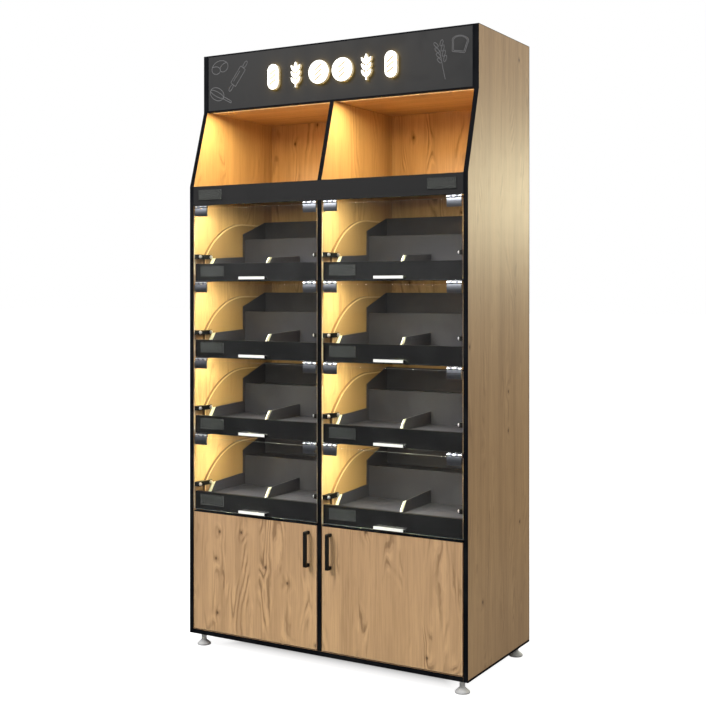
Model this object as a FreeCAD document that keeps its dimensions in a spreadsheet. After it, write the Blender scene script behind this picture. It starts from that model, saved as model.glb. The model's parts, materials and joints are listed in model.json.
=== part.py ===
import FreeCAD, Part
import Sketcher
import os
from enum import IntEnum

# Bakery display unit: a two-bay cabinet with a lit header, eight compartments behind clear
# lift-up flaps and a cupboard with two doors. Millimetres, +X to the right along the front,
# +Y to the back, +Z up. The origin is on the floor, in the middle of the whole outline.

ROWS = 4
SIDES = (-1, 1)
KNUCKLES = 5
TICKET_LAYERS = 3
MOTIF_SLASHES = 3
GRAIN_PAIRS = 3

SIZES = [
    # Whole unit
    ("unit_width", 1200, "outside of one side panel to outside of the other"),
    ("unit_depth", 560, "front edge to rear edge of the side panels"),
    ("foot_height", 50, "floor to underside of the bottom panel"),
    ("board_thickness", 18, "all carcass boards"),
    ("back_thickness", 8, "back panel"),
    ("back_inset", 6, "rear edges of the side panels to the back panel"),
    ("overrun", 10, "how far a cutting shape runs past what it cuts"),
    # Header and upper display
    ("header_height", 226, "height of the fascia"),
    ("header_setback", 90, "front edges to the fascia's face"),
    ("lip_height", 74, "board across the front under the upper display"),
    ("upper_opening", 302, "upper edge of the lip to the lower edge of the fascia"),
    # Rows of compartments
    ("cupboard_height", 486, "underside of the carcass to the lowest band"),
    ("row_pitch", 298, "one compartment to the next"),
    ("band_height", 70, "dark board along each shelf's front"),
    ("band_setback", 15, "front edges to the band's face"),
    ("shelf_rise", 32, "lower edge of a band to the underside of its shelf"),
    # Ticket holders
    ("ticket_width", 110, "clear ticket holder"),
    ("ticket_height", 40, "clear ticket holder"),
    ("ticket_wall", 1, "each wall of the ticket holder and the slot between them"),
    ("ticket_rise", 20, "lower edge of a band to its ticket holder"),
    ("ticket_inset", 27, "bay wall to ticket holder"),
    # Flaps and their hinges
    ("flap_thickness", 4, "clear sheet"),
    ("flap_inset", 2, "front edges to the flap's face"),
    ("flap_side_gap", 2.5, "bay wall to the flap's edge"),
    ("flap_bottom_gap", 3, "lower edge of the band to the flap's lower edge"),
    ("hinge_width", 56, "along the pin"),
    ("hinge_inset", 7.5, "bay wall to the hinge"),
    ("hinge_plate", 2, "thickness of the fixed plate and its overlap past the pin"),
    ("knuckle_radius", 4.5, "outside of a hinge knuckle"),
    ("knuckle_gap", 0.5, "between a knuckle and the parts that pass it"),
    ("pin_radius", 2, "hinge pin"),
    ("pin_clearance", 0.05, "pin to bore, on the radius"),
    ("clamp_thickness", 2, "each wall of the clamp that grips the flap"),
    ("clamp_height", 31, "clamp, top to bottom"),
    ("clamp_gap", 0.1, "flap to the inside of the clamp"),
    ("grip_length", 120, "bar handle of a flap"),
    ("grip_height", 13, "bar handle, at its front"),
    ("grip_root", 8, "bar handle, where it meets the flap"),
    ("grip_reach", 16, "flap's face to the handle's front"),
    ("grip_rise", 2, "flap's lower edge to the handle"),
    # Curved cheeks and flap stops
    ("cheek_thickness", 12, "curved cheek on each wall of a compartment"),
    ("cheek_setback", 60, "front edges to the cheek"),
    ("cheek_shoulder", 25, "band's upper edge to the start of the curve"),
    ("cheek_rise", 170, "band's upper edge to the cheek's upper edge"),
    ("cheek_run", 270, "length of the curve, front to back"),
    ("stop_length", 86, "flap stop bar"),
    ("stop_height", 17, "flap stop bar"),
    ("stop_thickness", 8, "flap stop bar, past the cheek's face"),
    ("stop_rise", 19, "band's upper edge to the stop bar"),
    ("stop_gap", 1, "clamp to the stop bar, and stop boss to the cheek"),
    ("nut_radius", 6.5, "domed nut"),
    ("nut_collar", 2, "straight part of a domed nut"),
    ("nut_inset", 8.5, "end of the stop bar to the nut's centre"),
    # Display trays
    ("tray_sheet", 4, "dark sheet of the trays"),
    ("tray_gap", 1, "tray to the boards round it"),
    ("tray_depth", 290, "back of the band to the rear tier's face"),
    ("tray_wall_front", 42, "back of the band to the foot of a tray wall"),
    ("tray_wall_slant", 30, "how far a tray wall's front edge leans back"),
    ("tray_wall_height", 39, "tray wall above the tray floor, at its front"),
    ("tray_wall_climb", 10, "how much higher a tray wall is at its rear"),
    ("tier_height", 122, "tray floor to the upper edge of the rear tier's face"),
    ("tier_guard", 10, "rear tier's floor to the upper edge of its face"),
    ("tier_depth", 150, "rear tier's face to its back board"),
    ("tier_cheek_step", 21, "upper edge of the tier's face to the front corners of its cheeks"),
    ("tier_cheek_rise", 57, "how far the tier's cheeks climb to its back board"),
    ("tier_cheek_lap", 9, "how far the tier's cheeks stand in front of its face"),
    # Light bars
    ("light_width", 16, "light bar, front to back"),
    ("light_height", 10, "light bar, top to bottom"),
    ("light_wall", 1.5, "wall of the light bar's profile"),
    ("light_end_gap", 12, "bay wall to the light bar's end"),
    ("light_clearance", 0.5, "light bar to the ends and the rear of its groove in the soffit"),
    ("driver_length", 220, "light driver"),
    ("driver_width", 60, "light driver"),
    ("driver_height", 34, "light driver"),
    ("driver_inset", 60, "back panel to the light driver"),
    ("inlet_width", 48, "mains inlet's body"),
    ("inlet_height", 28, "mains inlet's body"),
    ("inlet_depth", 30, "mains inlet's body, through the back panel"),
    ("inlet_flange", 5, "how far the inlet's flange laps the panel"),
    ("inlet_flange_thickness", 3, "mains inlet's flange"),
    ("inlet_clearance", 0.5, "inlet to its cut-out"),
    ("inlet_side", 140, "outside of the right side panel to the inlet's middle"),
    ("inlet_drop", 120, "top of the carcass to the inlet's middle"),
    # Cupboard
    ("door_gap", 3.5, "doors to the boards round them"),
    ("door_handle_length", 132, "black D handle"),
    ("door_handle_width", 12, "black D handle"),
    ("door_handle_bar", 12, "thickness of the D handle's bar"),
    ("door_handle_reach", 30, "door's face to the D handle's front"),
    ("door_handle_bend", 5, "rounding of the D handle's corners"),
    ("door_handle_inset", 35, "door's free edge to the handle's middle"),
    ("door_handle_drop", 26, "door's upper edge to the handle"),
    ("hinge_cup_radius", 17.5, "hinge cup in a door"),
    ("hinge_cup_depth", 12, "hinge cup in a door"),
    ("hinge_cup_clearance", 0.1, "hinge cup to its bore, on the radius"),
    ("hinge_cup_inset", 24, "door's hinged edge to the cup's middle"),
    ("hinge_cup_height", 70, "door's edge to the cup's middle"),
    ("hinge_flange", 1.5, "thickness of the flange on the door's back"),
    ("hinge_flange_width", 52, "flange, up and down"),
    ("arm_height", 15, "hinge arm, top to bottom"),
    ("arm_length", 62, "hinge arm, front to back"),
    ("arm_gap", 0.5, "hinge arm to the flange on the door"),
    ("arm_plate", 3, "mounting plate of the hinge arm"),
    ("arm_plate_height", 46, "mounting plate, top to bottom"),
    ("arm_plate_length", 38, "mounting plate, front to back"),
    ("cupboard_shelf_height", 250, "underside of the carcass to the inner shelf"),
    ("cupboard_shelf_setback", 60, "front edges to the inner shelf"),
    ("cupboard_shelf_gap", 1, "inner shelf to the boards round it"),
    ("peg_radius", 3, "shelf peg"),
    ("peg_length", 9, "shelf peg"),
    ("peg_inset", 50, "end of the inner shelf to the peg"),
    # Feet
    ("foot_radius", 26, "base of a levelling foot"),
    ("foot_rim", 6, "straight rim of the base"),
    ("foot_cone", 14, "height of the sloping part of the base"),
    ("foot_stem_radius", 10, "stem"),
    ("foot_head_radius", 22, "head under the bottom panel"),
    ("foot_head", 6, "thickness of the head"),
    ("foot_inset", 40, "outline of the carcass to a foot's middle"),
    # Lit motifs on the fascia
    ("motif_pitch", 103, "one motif to the next"),
    ("motif_height", 97, "tallest motif"),
    ("motif_thickness", 14, "raised from the fascia"),
    ("bun_radius", 44, "round bun"),
    ("loaf_radius", 25, "rounding at a loaf's ends"),
    ("slash_length", 34, "open cut in a bun or loaf"),
    ("slash_width", 6, "open cut in a bun or loaf"),
    ("slash_pitch", 19, "one cut to the next"),
    ("grain_length", 34, "grain of an ear"),
    ("grain_width", 12, "grain of an ear"),
    ("grain_offset", 11, "ear's middle to the middle of a side grain"),
    ("grain_drop", 26, "top of an ear to the middle of its first pair of grains"),
    ("grain_pitch", 23, "one pair of grains to the next"),
    ("stem_width", 5, "stem of an ear"),
]

ANGLES = [
    ("slash_turn", 35, "lean of the cuts in a bun or loaf"),
    ("grain_turn", 35, "lean of the side grains of an ear"),
]

PLACES = [
    ("front", "(sizes.door_handle_reach - sizes.unit_depth) / 2"),
    ("rear", "places.front + sizes.unit_depth"),
    ("panel_front", "places.rear - sizes.back_inset - sizes.back_thickness"),
    ("inner_half", "sizes.unit_width / 2 - sizes.board_thickness"),
    ("bay_width", "places.inner_half - sizes.board_thickness / 2"),
    ("bay_centre", "(places.inner_half + sizes.board_thickness / 2) / 2"),
    ("deck", "sizes.foot_height + sizes.board_thickness"),
    ("first_band", "sizes.foot_height + sizes.cupboard_height"),
    ("lip_base", "places.first_band + sizes.row_pitch * %d" % ROWS),
    ("lip_top", "places.lip_base + sizes.lip_height"),
    ("header_base", "places.lip_top + sizes.upper_opening"),
    ("header_back", "places.front + sizes.header_setback + sizes.board_thickness"),
    ("top", "places.header_base + sizes.header_height"),
    ("carcass_height", "places.top - sizes.foot_height"),
    ("band_back", "places.front + sizes.band_setback + sizes.board_thickness"),
    ("tray_floor", "sizes.shelf_rise + sizes.board_thickness + sizes.tray_sheet"),
    ("tier_front", "places.band_back + sizes.tray_depth"),
    ("tier_corner", "sizes.tier_height + sizes.tier_cheek_step"),
    ("tier_crest", "places.tier_corner + sizes.tier_cheek_rise"),
    ("tray_half", "places.bay_width / 2 - sizes.cheek_thickness - sizes.tray_gap"),
    ("hinge_drop", "sizes.hinge_plate + sizes.knuckle_gap + sizes.knuckle_radius"),
    ("hinge_y", "places.front + sizes.flap_inset + sizes.flap_thickness / 2"),
    ("hinge_offset", "places.bay_width / 2 - sizes.hinge_inset - sizes.hinge_width / 2"),
    ("clamp_top", "sizes.knuckle_radius + sizes.knuckle_gap"),
    ("light_length", "places.bay_width - sizes.light_end_gap * 2"),
    ("flap_top_drop", "places.hinge_drop + places.clamp_top + sizes.clamp_thickness + sizes.clamp_gap"),
    ("clamp_half", "sizes.flap_thickness / 2 + sizes.clamp_gap + sizes.clamp_thickness"),
    ("flap_height", "sizes.row_pitch - sizes.flap_bottom_gap - places.flap_top_drop"),
    ("flap_half", "places.bay_width / 2 - sizes.flap_side_gap"),
    ("stop_front", "places.hinge_y + places.clamp_half + sizes.stop_gap"),
    ("door_bottom", "places.deck + sizes.door_gap"),
    ("door_top", "places.first_band - sizes.door_gap"),
    ("door_width", "places.bay_width - sizes.door_gap * 2"),
    ("door_back", "places.front + sizes.board_thickness"),
]

doc = FreeCAD.newDocument("bakery_display_unit")
nodes = []


def fill_sheet(name, rows):
    """A sheet with one row for each value: its alias, the value and what it means."""
    sheet = doc.addObject("Spreadsheet::Sheet", name)
    for number, row in enumerate(rows, start=1):
        sheet.set("A%d" % number, row[0])
        sheet.set("B%d" % number, str(row[1]))
        sheet.setAlias("B%d" % number, row[0])
        if len(row) > 2:
            sheet.set("C%d" % number, row[2])
    return sheet


sizes = fill_sheet("sizes", SIZES)
angles = fill_sheet("angles", ANGLES)
places = fill_sheet("places", [(name, "=" + formula) for name, formula in PLACES])
doc.recompute()


def value(expression):
    """The present value of an expression."""
    return float(sizes.evalExpression(expression))


def bind(item, **expressions):
    """Tie properties of an object to expressions."""
    for name, expression in expressions.items():
        item.setExpression(name, expression)
    return item


def put(item, x="0", y="0", z="0"):
    """Tie an object's place to expressions."""
    item.setExpression("Placement.Base.x", x)
    item.setExpression("Placement.Base.y", y)
    item.setExpression("Placement.Base.z", z)
    return item


def lean(item, axis, angle):
    """Turn an object about an axis by the angle that an expression gives."""
    item.Placement = FreeCAD.Placement(FreeCAD.Vector(), FreeCAD.Rotation(axis, 0))
    item.setExpression("Placement.Rotation.Axis.x", str(axis.x))
    item.setExpression("Placement.Rotation.Axis.y", str(axis.y))
    item.setExpression("Placement.Rotation.Axis.z", str(axis.z))
    item.setExpression("Placement.Rotation.Angle", angle)
    return item


def block(name, length, width, height, x, y, z):
    """A square-cut piece with its lowest corner at x, y, z."""
    box = doc.addObject("Part::Box", name)
    bind(box, Length=length, Width=width, Height=height)
    return put(box, x, y, z)


def rod(name, radius, length, x, y, z, axis=FreeCAD.Vector(0, 0, 1)):
    """A round piece that starts at x, y, z and runs along an axis."""
    cylinder = doc.addObject("Part::Cylinder", name)
    bind(cylinder, Radius=radius, Height=length)
    rotation = FreeCAD.Rotation(FreeCAD.Vector(0, 0, 1), axis)
    cylinder.Placement = FreeCAD.Placement(FreeCAD.Vector(), rotation)
    return put(cylinder, x, y, z)


class Point(IntEnum):
    """The points of a sketched line or arc, by the sketcher's own numbers."""
    START = 1
    END = 2
    CENTRE = 3


ALONG_X = FreeCAD.Vector(1, 0, 0)
ALONG_Y = FreeCAD.Vector(0, 1, 0)


def fuse(name, pieces):
    """Several shapes as one solid."""
    joined = doc.addObject("Part::MultiFuse", name)
    joined.Shapes = pieces
    joined.Refine = True
    return joined


def cut(name, base, tool):
    """One shape with another taken out of it."""
    result = doc.addObject("Part::Cut", name)
    result.Base = base
    result.Tool = tool
    return result


def master(name, piece):
    """A primitive as a shape whose own place is the origin, so that copies of it can be put."""
    whole = doc.addObject("Part::Compound", name)
    whole.Links = [piece]
    return whole


def copy(name, original, x, y, z):
    """The same piece once more at another place."""
    link = doc.addObject("App::Link", name)
    link.LinkedObject = original
    return put(link, x, y, z)


def node(label, pieces):
    """One named node: a single piece, or a group of separate pieces."""
    if isinstance(pieces, list):
        item = doc.addObject("Part::Compound", label)
        item.Links = pieces
    else:
        item = pieces
    item.Label = label
    nodes.append(item)
    return item


def draw_outline(sketch, points, arc_after=None, arc_middle=None):
    """A closed outline through points, each tied to its two expressions. The side that
    starts at point arc_after is an arc about a centre with arc_middle as its x."""
    spots = [FreeCAD.Vector(value(x), value(y), 0) for x, y in points]
    count = len(spots)
    for index in range(count):
        start = spots[index]
        end = spots[(index + 1) % count]
        if index == arc_after:
            middle_x = value(arc_middle)
            rise = end.y - start.y
            run = end.x - start.x
            radius = (rise * rise + run * run) / (2 * rise)
            centre = FreeCAD.Vector(middle_x, end.y - radius, 0)
            circle = Part.Circle(centre, FreeCAD.Vector(0, 0, 1), radius)
            begin = circle.parameter(end)
            finish = circle.parameter(start)
            sketch.addGeometry(Part.ArcOfCircle(circle, begin, finish), False)
        else:
            sketch.addGeometry(Part.LineSegment(start, end), False)
    for index in range(count):
        following = (index + 1) % count
        leaving = Point.START if index == arc_after else Point.END
        arriving = Point.END if following == arc_after else Point.START
        sketch.addConstraint(Sketcher.Constraint("Coincident", index, leaving, following, arriving))
    for index, (x, y) in enumerate(points):
        corner = Point.END if index == arc_after else Point.START
        tie(sketch, "DistanceX", index, corner, x, spots[index].x)
        tie(sketch, "DistanceY", index, corner, y, spots[index].y)
    if arc_after is not None:
        tie(sketch, "DistanceX", arc_after, Point.CENTRE, arc_middle, value(arc_middle))


def tie(sketch, kind, index, corner, expression, start):
    """Hold one coordinate of a sketch point at an expression's value."""
    if expression == "0":
        axis = -2 if kind == "DistanceX" else -1
        sketch.addConstraint(Sketcher.Constraint("PointOnObject", index, corner, axis))
        return
    number = sketch.addConstraint(Sketcher.Constraint(kind, -1, 1, index, corner, start))
    sketch.setExpression("Constraints[%d]" % number, expression)


def sketched_body(name, plane, points, **arc):
    """A body with one outline on one of its own origin planes."""
    body = doc.addObject("PartDesign::Body", name)
    sketch = body.newObject("Sketcher::SketchObject", name + "_outline")
    origin_plane = [item for item in body.Origin.OriginFeatures if item.Role == plane][0]
    sketch.AttachmentSupport = (origin_plane, "")
    sketch.MapMode = "FlatFace"
    draw_outline(sketch, points, **arc)
    return body, sketch


def profile(name, points, thickness, **arc):
    """A board cut to an outline of (y, z) points, as thick as stated along X."""
    body, sketch = sketched_body(name, "YZ_Plane", points, **arc)
    pad = body.newObject("PartDesign::Pad", name + "_pad")
    pad.Profile = sketch
    pad.setExpression("Length", thickness)
    return body


def bay(side):
    """The middle of the left (-1) or right (1) bay, along X."""
    return "(%d * places.bay_centre)" % side


def band(row):
    """The height of a row's lower edge. Row 0 is the lowest, and row ROWS is the lip."""
    return "(places.first_band + sizes.row_pitch * %d)" % row


def word(side):
    """The name of a side."""
    return "left" if side < 0 else "right"


def wall_x(side, wall):
    """A bay's left (-1) or right (1) wall, along X."""
    return "(%s + %d * places.bay_width / 2)" % (bay(side), wall)


def inward(side, wall, distance, thickness):
    """The lowest X of a piece of some thickness that starts at a distance from a bay's wall."""
    if wall < 0:
        return "(%s + %s)" % (wall_x(side, wall), distance)
    return "(%s - (%s) - (%s))" % (wall_x(side, wall), distance, thickness)


COMPARTMENTS = [(row, side) for row in range(ROWS) for side in SIDES]
WALLS = [(row, side, wall) for row, side in COMPARTMENTS for wall in SIDES]


def build_carcass():
    """The boards that carry everything else."""
    depth = "sizes.unit_depth"
    side_outline = [
        ("0", "0"),
        (depth, "0"),
        (depth, "places.carcass_height"),
        ("sizes.header_setback", "places.carcass_height"),
        ("sizes.header_setback", "places.carcass_height - sizes.header_height"),
        ("0", "places.lip_top - sizes.foot_height"),
    ]
    side = profile("side_board", side_outline, "sizes.board_thickness")
    for hand, x in ((-1, "-sizes.unit_width / 2"), (1, "places.inner_half")):
        name = "side_panel_" + word(hand)
        node(name, [copy(name + "_board", side, x, "places.front", "sizes.foot_height")])

    partition_outline = [
        ("0", "0"),
        ("places.panel_front - places.front", "0"),
        ("places.panel_front - places.front", "places.header_base - places.deck"),
        ("sizes.header_setback", "places.header_base - places.deck"),
        ("0", "places.lip_top - places.deck"),
        ("sizes.board_thickness", "places.lip_top - places.deck"),
        ("sizes.board_thickness", "places.lip_base - places.deck"),
        ("0", "places.lip_base - places.deck"),
    ]
    partition = profile("centre_partition", partition_outline, "sizes.board_thickness")
    put(partition, "-sizes.board_thickness / 2", "places.front", "places.deck")
    node("centre_partition", partition)

    across = "places.inner_half * 2"
    thick = "sizes.board_thickness"
    inner_depth = "places.panel_front - places.front"
    node("bottom_panel", block("bottom_panel", across, inner_depth, thick,
                               "-places.inner_half", "places.front", "sizes.foot_height"))
    node("top_panel", block("top_panel", across, "places.panel_front - places.header_back", thick,
                            "-places.inner_half", "places.header_back",
                            "places.top - sizes.board_thickness"))
    soffit = block("soffit_board", across, "places.panel_front - places.header_back", thick,
                   "-places.inner_half", "places.header_back", "places.header_base")
    grooves = [block("soffit_groove_" + word(hand),
                     "places.light_length + sizes.light_clearance * 2",
                     "sizes.light_width + sizes.light_clearance + sizes.overrun",
                     "sizes.light_height + sizes.overrun",
                     "%s - places.light_length / 2 - sizes.light_clearance" % bay(hand),
                     "places.header_back - sizes.overrun", "places.header_base - sizes.overrun")
               for hand in SIDES]
    node("header_soffit", cut("header_soffit", soffit, fuse("soffit_grooves", grooves)))
    node("header_fascia", block("header_fascia", across, thick, "sizes.header_height",
                                "-places.inner_half", "places.front + sizes.header_setback",
                                "places.header_base"))
    node("upper_lip", block("upper_lip", across, thick, "sizes.lip_height",
                            "-places.inner_half", "places.front", "places.lip_base"))

    back = block("back_board", across, "sizes.back_thickness", "places.carcass_height",
                 "-places.inner_half", "places.panel_front", "sizes.foot_height")
    hole = block("inlet_hole", "sizes.inlet_width + sizes.inlet_clearance * 2",
                 "sizes.back_thickness + sizes.overrun * 2",
                 "sizes.inlet_height + sizes.inlet_clearance * 2",
                 "sizes.unit_width / 2 - sizes.inlet_side - sizes.inlet_width / 2 "
                 "- sizes.inlet_clearance",
                 "places.panel_front - sizes.overrun",
                 "places.top - sizes.inlet_drop - sizes.inlet_height / 2 - sizes.inlet_clearance")
    node("back_panel", cut("back_panel", back, hole))


def build_shelves():
    """The boards under the compartments and the upper display, and the bands before them."""
    shelves = []
    bands = []
    for row in range(ROWS + 1):
        for side in SIDES:
            name = "%d_%s" % (row, word(side))
            start = "places.band_back" if row < ROWS else "places.front + sizes.board_thickness"
            shelves.append(block("shelf_" + name, "places.bay_width",
                                 "places.panel_front - (%s)" % start, "sizes.board_thickness",
                                 wall_x(side, -1), start, band(row) + " + sizes.shelf_rise"))
            if row < ROWS:
                bands.append(block("band_" + name, "places.bay_width", "sizes.board_thickness",
                                   "sizes.band_height", wall_x(side, -1),
                                   "places.front + sizes.band_setback", band(row)))
    node("shelf_boards", shelves)
    node("row_bands", bands)


def build_ticket_holders():
    """Clear pockets, open at the top and the ends, on the bands and the lip."""
    depth = "sizes.ticket_wall * %d" % TICKET_LAYERS
    body = block("ticket_body", "sizes.ticket_width", depth, "sizes.ticket_height", "0", "0", "0")
    slot = block("ticket_slot", "sizes.ticket_width + sizes.overrun * 2", "sizes.ticket_wall",
                 "sizes.ticket_height", "-sizes.overrun", "sizes.ticket_wall",
                 "sizes.ticket_wall")
    holder = cut("ticket_holder", body, slot)
    holders = []
    for row, side in COMPARTMENTS:
        name = "ticket_%d_%s" % (row, word(side))
        holders.append(copy(name, holder, inward(side, -1, "sizes.ticket_inset", "0"),
                            "places.front + sizes.band_setback - " + depth,
                            band(row) + " + sizes.ticket_rise"))
    for side in SIDES:
        holders.append(copy("ticket_lip_" + word(side), holder,
                            inward(side, side, "sizes.ticket_inset", "sizes.ticket_width"),
                            "places.front - " + depth,
                            band(ROWS) + " + sizes.ticket_rise"))
    node("ticket_holders", holders)


def build_cheeks():
    """Curved oak cheeks, and the black stop bars with domed nuts that hold their fronts."""
    shelf_top = "sizes.shelf_rise + sizes.board_thickness"
    length = "places.panel_front - places.front - sizes.cheek_setback"
    shoulder = "sizes.band_height + sizes.cheek_shoulder - (%s)" % shelf_top
    crest = "sizes.band_height + sizes.cheek_rise - (%s)" % shelf_top
    outline = [
        ("0", shoulder),
        ("sizes.cheek_run", crest),
        (length, crest),
        (length, "0"),
        ("0", "0"),
    ]
    cheek = profile("cheek_board", outline, "sizes.cheek_thickness",
                    arc_after=0, arc_middle="sizes.cheek_run")
    boss_length = "places.front + sizes.cheek_setback - sizes.stop_gap - places.stop_front"
    reach = "sizes.cheek_thickness + sizes.stop_thickness"
    cheeks = []
    bars = []
    nuts = []
    for row, side, wall in WALLS:
        name = "%d_%s_%s" % (row, word(side), word(wall))
        cheeks.append(copy("cheek_" + name, cheek,
                           inward(side, wall, "0", "sizes.cheek_thickness"),
                           "places.front + sizes.cheek_setback",
                           "%s + %s" % (band(row), shelf_top)))
        level = "%s + sizes.band_height + sizes.stop_rise" % band(row)
        bar = block("stop_bar_" + name, "sizes.stop_thickness", "sizes.stop_length",
                    "sizes.stop_height",
                    inward(side, wall, "sizes.cheek_thickness", "sizes.stop_thickness"),
                    "places.stop_front", level)
        boss = block("stop_boss_" + name, reach, boss_length, "sizes.stop_height",
                     inward(side, wall, "0", reach), "places.stop_front", level)
        bars.append(fuse("stop_" + name, [bar, boss]))
        for end, y in enumerate(("places.stop_front + sizes.nut_inset",
                                 "places.stop_front + sizes.stop_length - sizes.nut_inset")):
            nuts.append(domed_nut("nut_%s_%d" % (name, end), wall,
                                  "(%s - (%d) * (%s))" % (wall_x(side, wall), wall, reach), y,
                                  level + " + sizes.stop_height / 2"))
    node("curved_cheeks", cheeks)
    node("flap_stop_bars", bars)
    node("dome_nuts", nuts)


def domed_nut(name, wall, x, y, z):
    """A domed nut whose flat side lies on a bar and whose dome points away from the wall."""
    away = FreeCAD.Vector(-wall, 0, 0)
    collar = rod(name + "_collar", "sizes.nut_radius", "sizes.nut_collar", x, y, z, away)
    dome = doc.addObject("Part::Sphere", name + "_dome")
    bind(dome, Radius="sizes.nut_radius")
    dome.Angle1 = 0
    rotation = FreeCAD.Rotation(FreeCAD.Vector(0, 0, 1), away)
    dome.Placement = FreeCAD.Placement(FreeCAD.Vector(), rotation)
    put(dome, "%s - (%d) * sizes.nut_collar" % (x, wall), y, z)
    return fuse(name, [collar, dome])


def build_trays():
    """The dark stepped tray of each compartment, made of flat sheets: a floor, low walls, and
    a rear tier with a face, a floor, two cheeks and a back board."""
    sheet = "sizes.tray_sheet"
    inner_depth = "places.panel_front - places.band_back - sizes.tray_gap * 2"
    wall_outline = [
        ("0", "0"),
        ("places.tier_front - places.band_back - sizes.tray_wall_front - sizes.tier_cheek_lap", "0"),
        ("places.tier_front - places.band_back - sizes.tray_wall_front - sizes.tier_cheek_lap",
         "sizes.tray_wall_height + sizes.tray_wall_climb"),
        ("sizes.tray_wall_slant", "sizes.tray_wall_height"),
    ]
    divider_outline = [
        ("0", "0"),
        ("places.tier_front - places.band_back - sizes.tray_wall_front", "0"),
        ("places.tier_front - places.band_back - sizes.tray_wall_front",
         "sizes.tray_wall_height + sizes.tray_wall_climb"),
        ("sizes.tray_wall_slant", "sizes.tray_wall_height"),
    ]
    cheek_run = "sizes.tier_cheek_lap + sizes.tier_depth"
    cheek_length = cheek_run + " + sizes.tray_sheet"
    cheek_outline = [
        ("0", "0"),
        (cheek_length, "0"),
        (cheek_length, "places.tier_crest"),
        (cheek_run, "places.tier_crest"),
        ("0", "places.tier_corner"),
    ]
    wall_sheet = profile("tray_wall_sheet", wall_outline, sheet)
    divider_sheet = profile("tray_divider_sheet", divider_outline, sheet)
    tier_cheek = profile("tier_cheek_sheet", cheek_outline, sheet)
    floors = []
    walls = []
    tiers = []
    cheeks = []
    for row, side in COMPARTMENTS:
        name = "%d_%s" % (row, word(side))
        level = "%s + places.tray_floor" % band(row)
        left = "%s - places.tray_half" % bay(side)
        floors.append(block("tray_floor_" + name, "places.tray_half * 2", inner_depth, sheet,
                            left, "places.band_back + sizes.tray_gap",
                            level + " - sizes.tray_sheet"))
        front = "places.band_back + sizes.tray_wall_front"
        walls.append(copy("tray_divider_" + name, divider_sheet,
                          "%s - sizes.tray_sheet / 2" % bay(side), front, level))
        for wall in SIDES:
            x = "%s + %d * (places.tray_half - sizes.tray_sheet / 2) - sizes.tray_sheet / 2" % (
                bay(side), wall)
            walls.append(copy("tray_wall_%s_%s" % (name, word(wall)), wall_sheet, x, front, level))
            cheeks.append(copy("tier_cheek_%s_%s" % (name, word(wall)), tier_cheek, x,
                               "places.tier_front - sizes.tier_cheek_lap", level))
        between = "places.tray_half * 2 - sizes.tray_sheet * 2"
        tiers.append(block("tier_face_" + name, between, sheet, "sizes.tier_height",
                           left + " + sizes.tray_sheet", "places.tier_front", level))
        tiers.append(block("tier_floor_" + name, between, "sizes.tier_depth - sizes.tray_sheet",
                           sheet, left + " + sizes.tray_sheet",
                           "places.tier_front + sizes.tray_sheet",
                           level + " + sizes.tier_height - sizes.tier_guard - sizes.tray_sheet"))
        tiers.append(block("tier_back_" + name, between, sheet, "places.tier_crest",
                           left + " + sizes.tray_sheet", "places.tier_front + sizes.tier_depth",
                           level))
    node("tray_floors", floors)
    node("tray_walls", walls)
    node("tier_boards", tiers)
    node("tier_cheeks", cheeks)


def hinge_parts():
    """The fixed plate, the clamp leaf and the pin of one flap hinge, with the pin's middle at
    the origin and the pin along X."""
    pitch = "((sizes.hinge_width + sizes.knuckle_gap) / %d)" % KNUCKLES
    length = "(%s - sizes.knuckle_gap)" % pitch
    half = "sizes.hinge_width / 2"
    web = "sizes.clamp_thickness"
    fixed = []
    moving = []
    for index in range(KNUCKLES):
        x = "-%s + %s * %d" % (half, pitch, index)
        group = moving if index % 2 else fixed
        group.append(rod("knuckle_%d" % index, "sizes.knuckle_radius", length, x, "0", "0", ALONG_X))
        if index % 2:
            drop = "places.clamp_top + sizes.clamp_thickness / 2"
            group.append(block("web_%d" % index, length, web, drop,
                               x, "-%s / 2" % web, "-(%s)" % drop))
        else:
            climb = "sizes.knuckle_radius + sizes.knuckle_gap + sizes.hinge_plate / 2"
            group.append(block("web_%d" % index, length, web, climb, x, "-%s / 2" % web, "0"))
    plate_depth = "sizes.band_setback + sizes.board_thickness + places.front - places.hinge_y"
    fixed.append(block("hinge_plate_flat", "sizes.hinge_width",
                       plate_depth + " + sizes.hinge_plate", "sizes.hinge_plate",
                       "-" + half, "-sizes.hinge_plate",
                       "sizes.knuckle_radius + sizes.knuckle_gap"))
    for hand, name in ((-1, "front"), (1, "back")):
        moving.append(block("clamp_" + name, "sizes.hinge_width", "sizes.clamp_thickness",
                            "sizes.clamp_height", "-" + half,
                            "%d * (places.clamp_half - sizes.clamp_thickness / 2) "
                            "- sizes.clamp_thickness / 2" % hand,
                            "-places.clamp_top - sizes.clamp_height"))
    moving.append(block("clamp_bridge", "sizes.hinge_width", "places.clamp_half * 2",
                        "sizes.clamp_thickness", "-" + half, "-places.clamp_half",
                        "-places.clamp_top - sizes.clamp_thickness"))
    results = []
    for name, pieces in (("hinge_plate", fixed), ("hinge_leaf", moving)):
        bore = rod(name + "_bore", "sizes.pin_radius + sizes.pin_clearance",
                   "sizes.hinge_width + sizes.overrun * 2", "-%s - sizes.overrun" % half,
                   "0", "0", ALONG_X)
        results.append(cut(name, fuse(name + "_blank", pieces), bore))
    pin = rod("hinge_pin_rod", "sizes.pin_radius", "sizes.hinge_width", "-" + half, "0", "0",
              ALONG_X)
    results.append(master("hinge_pin", pin))
    return results


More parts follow.
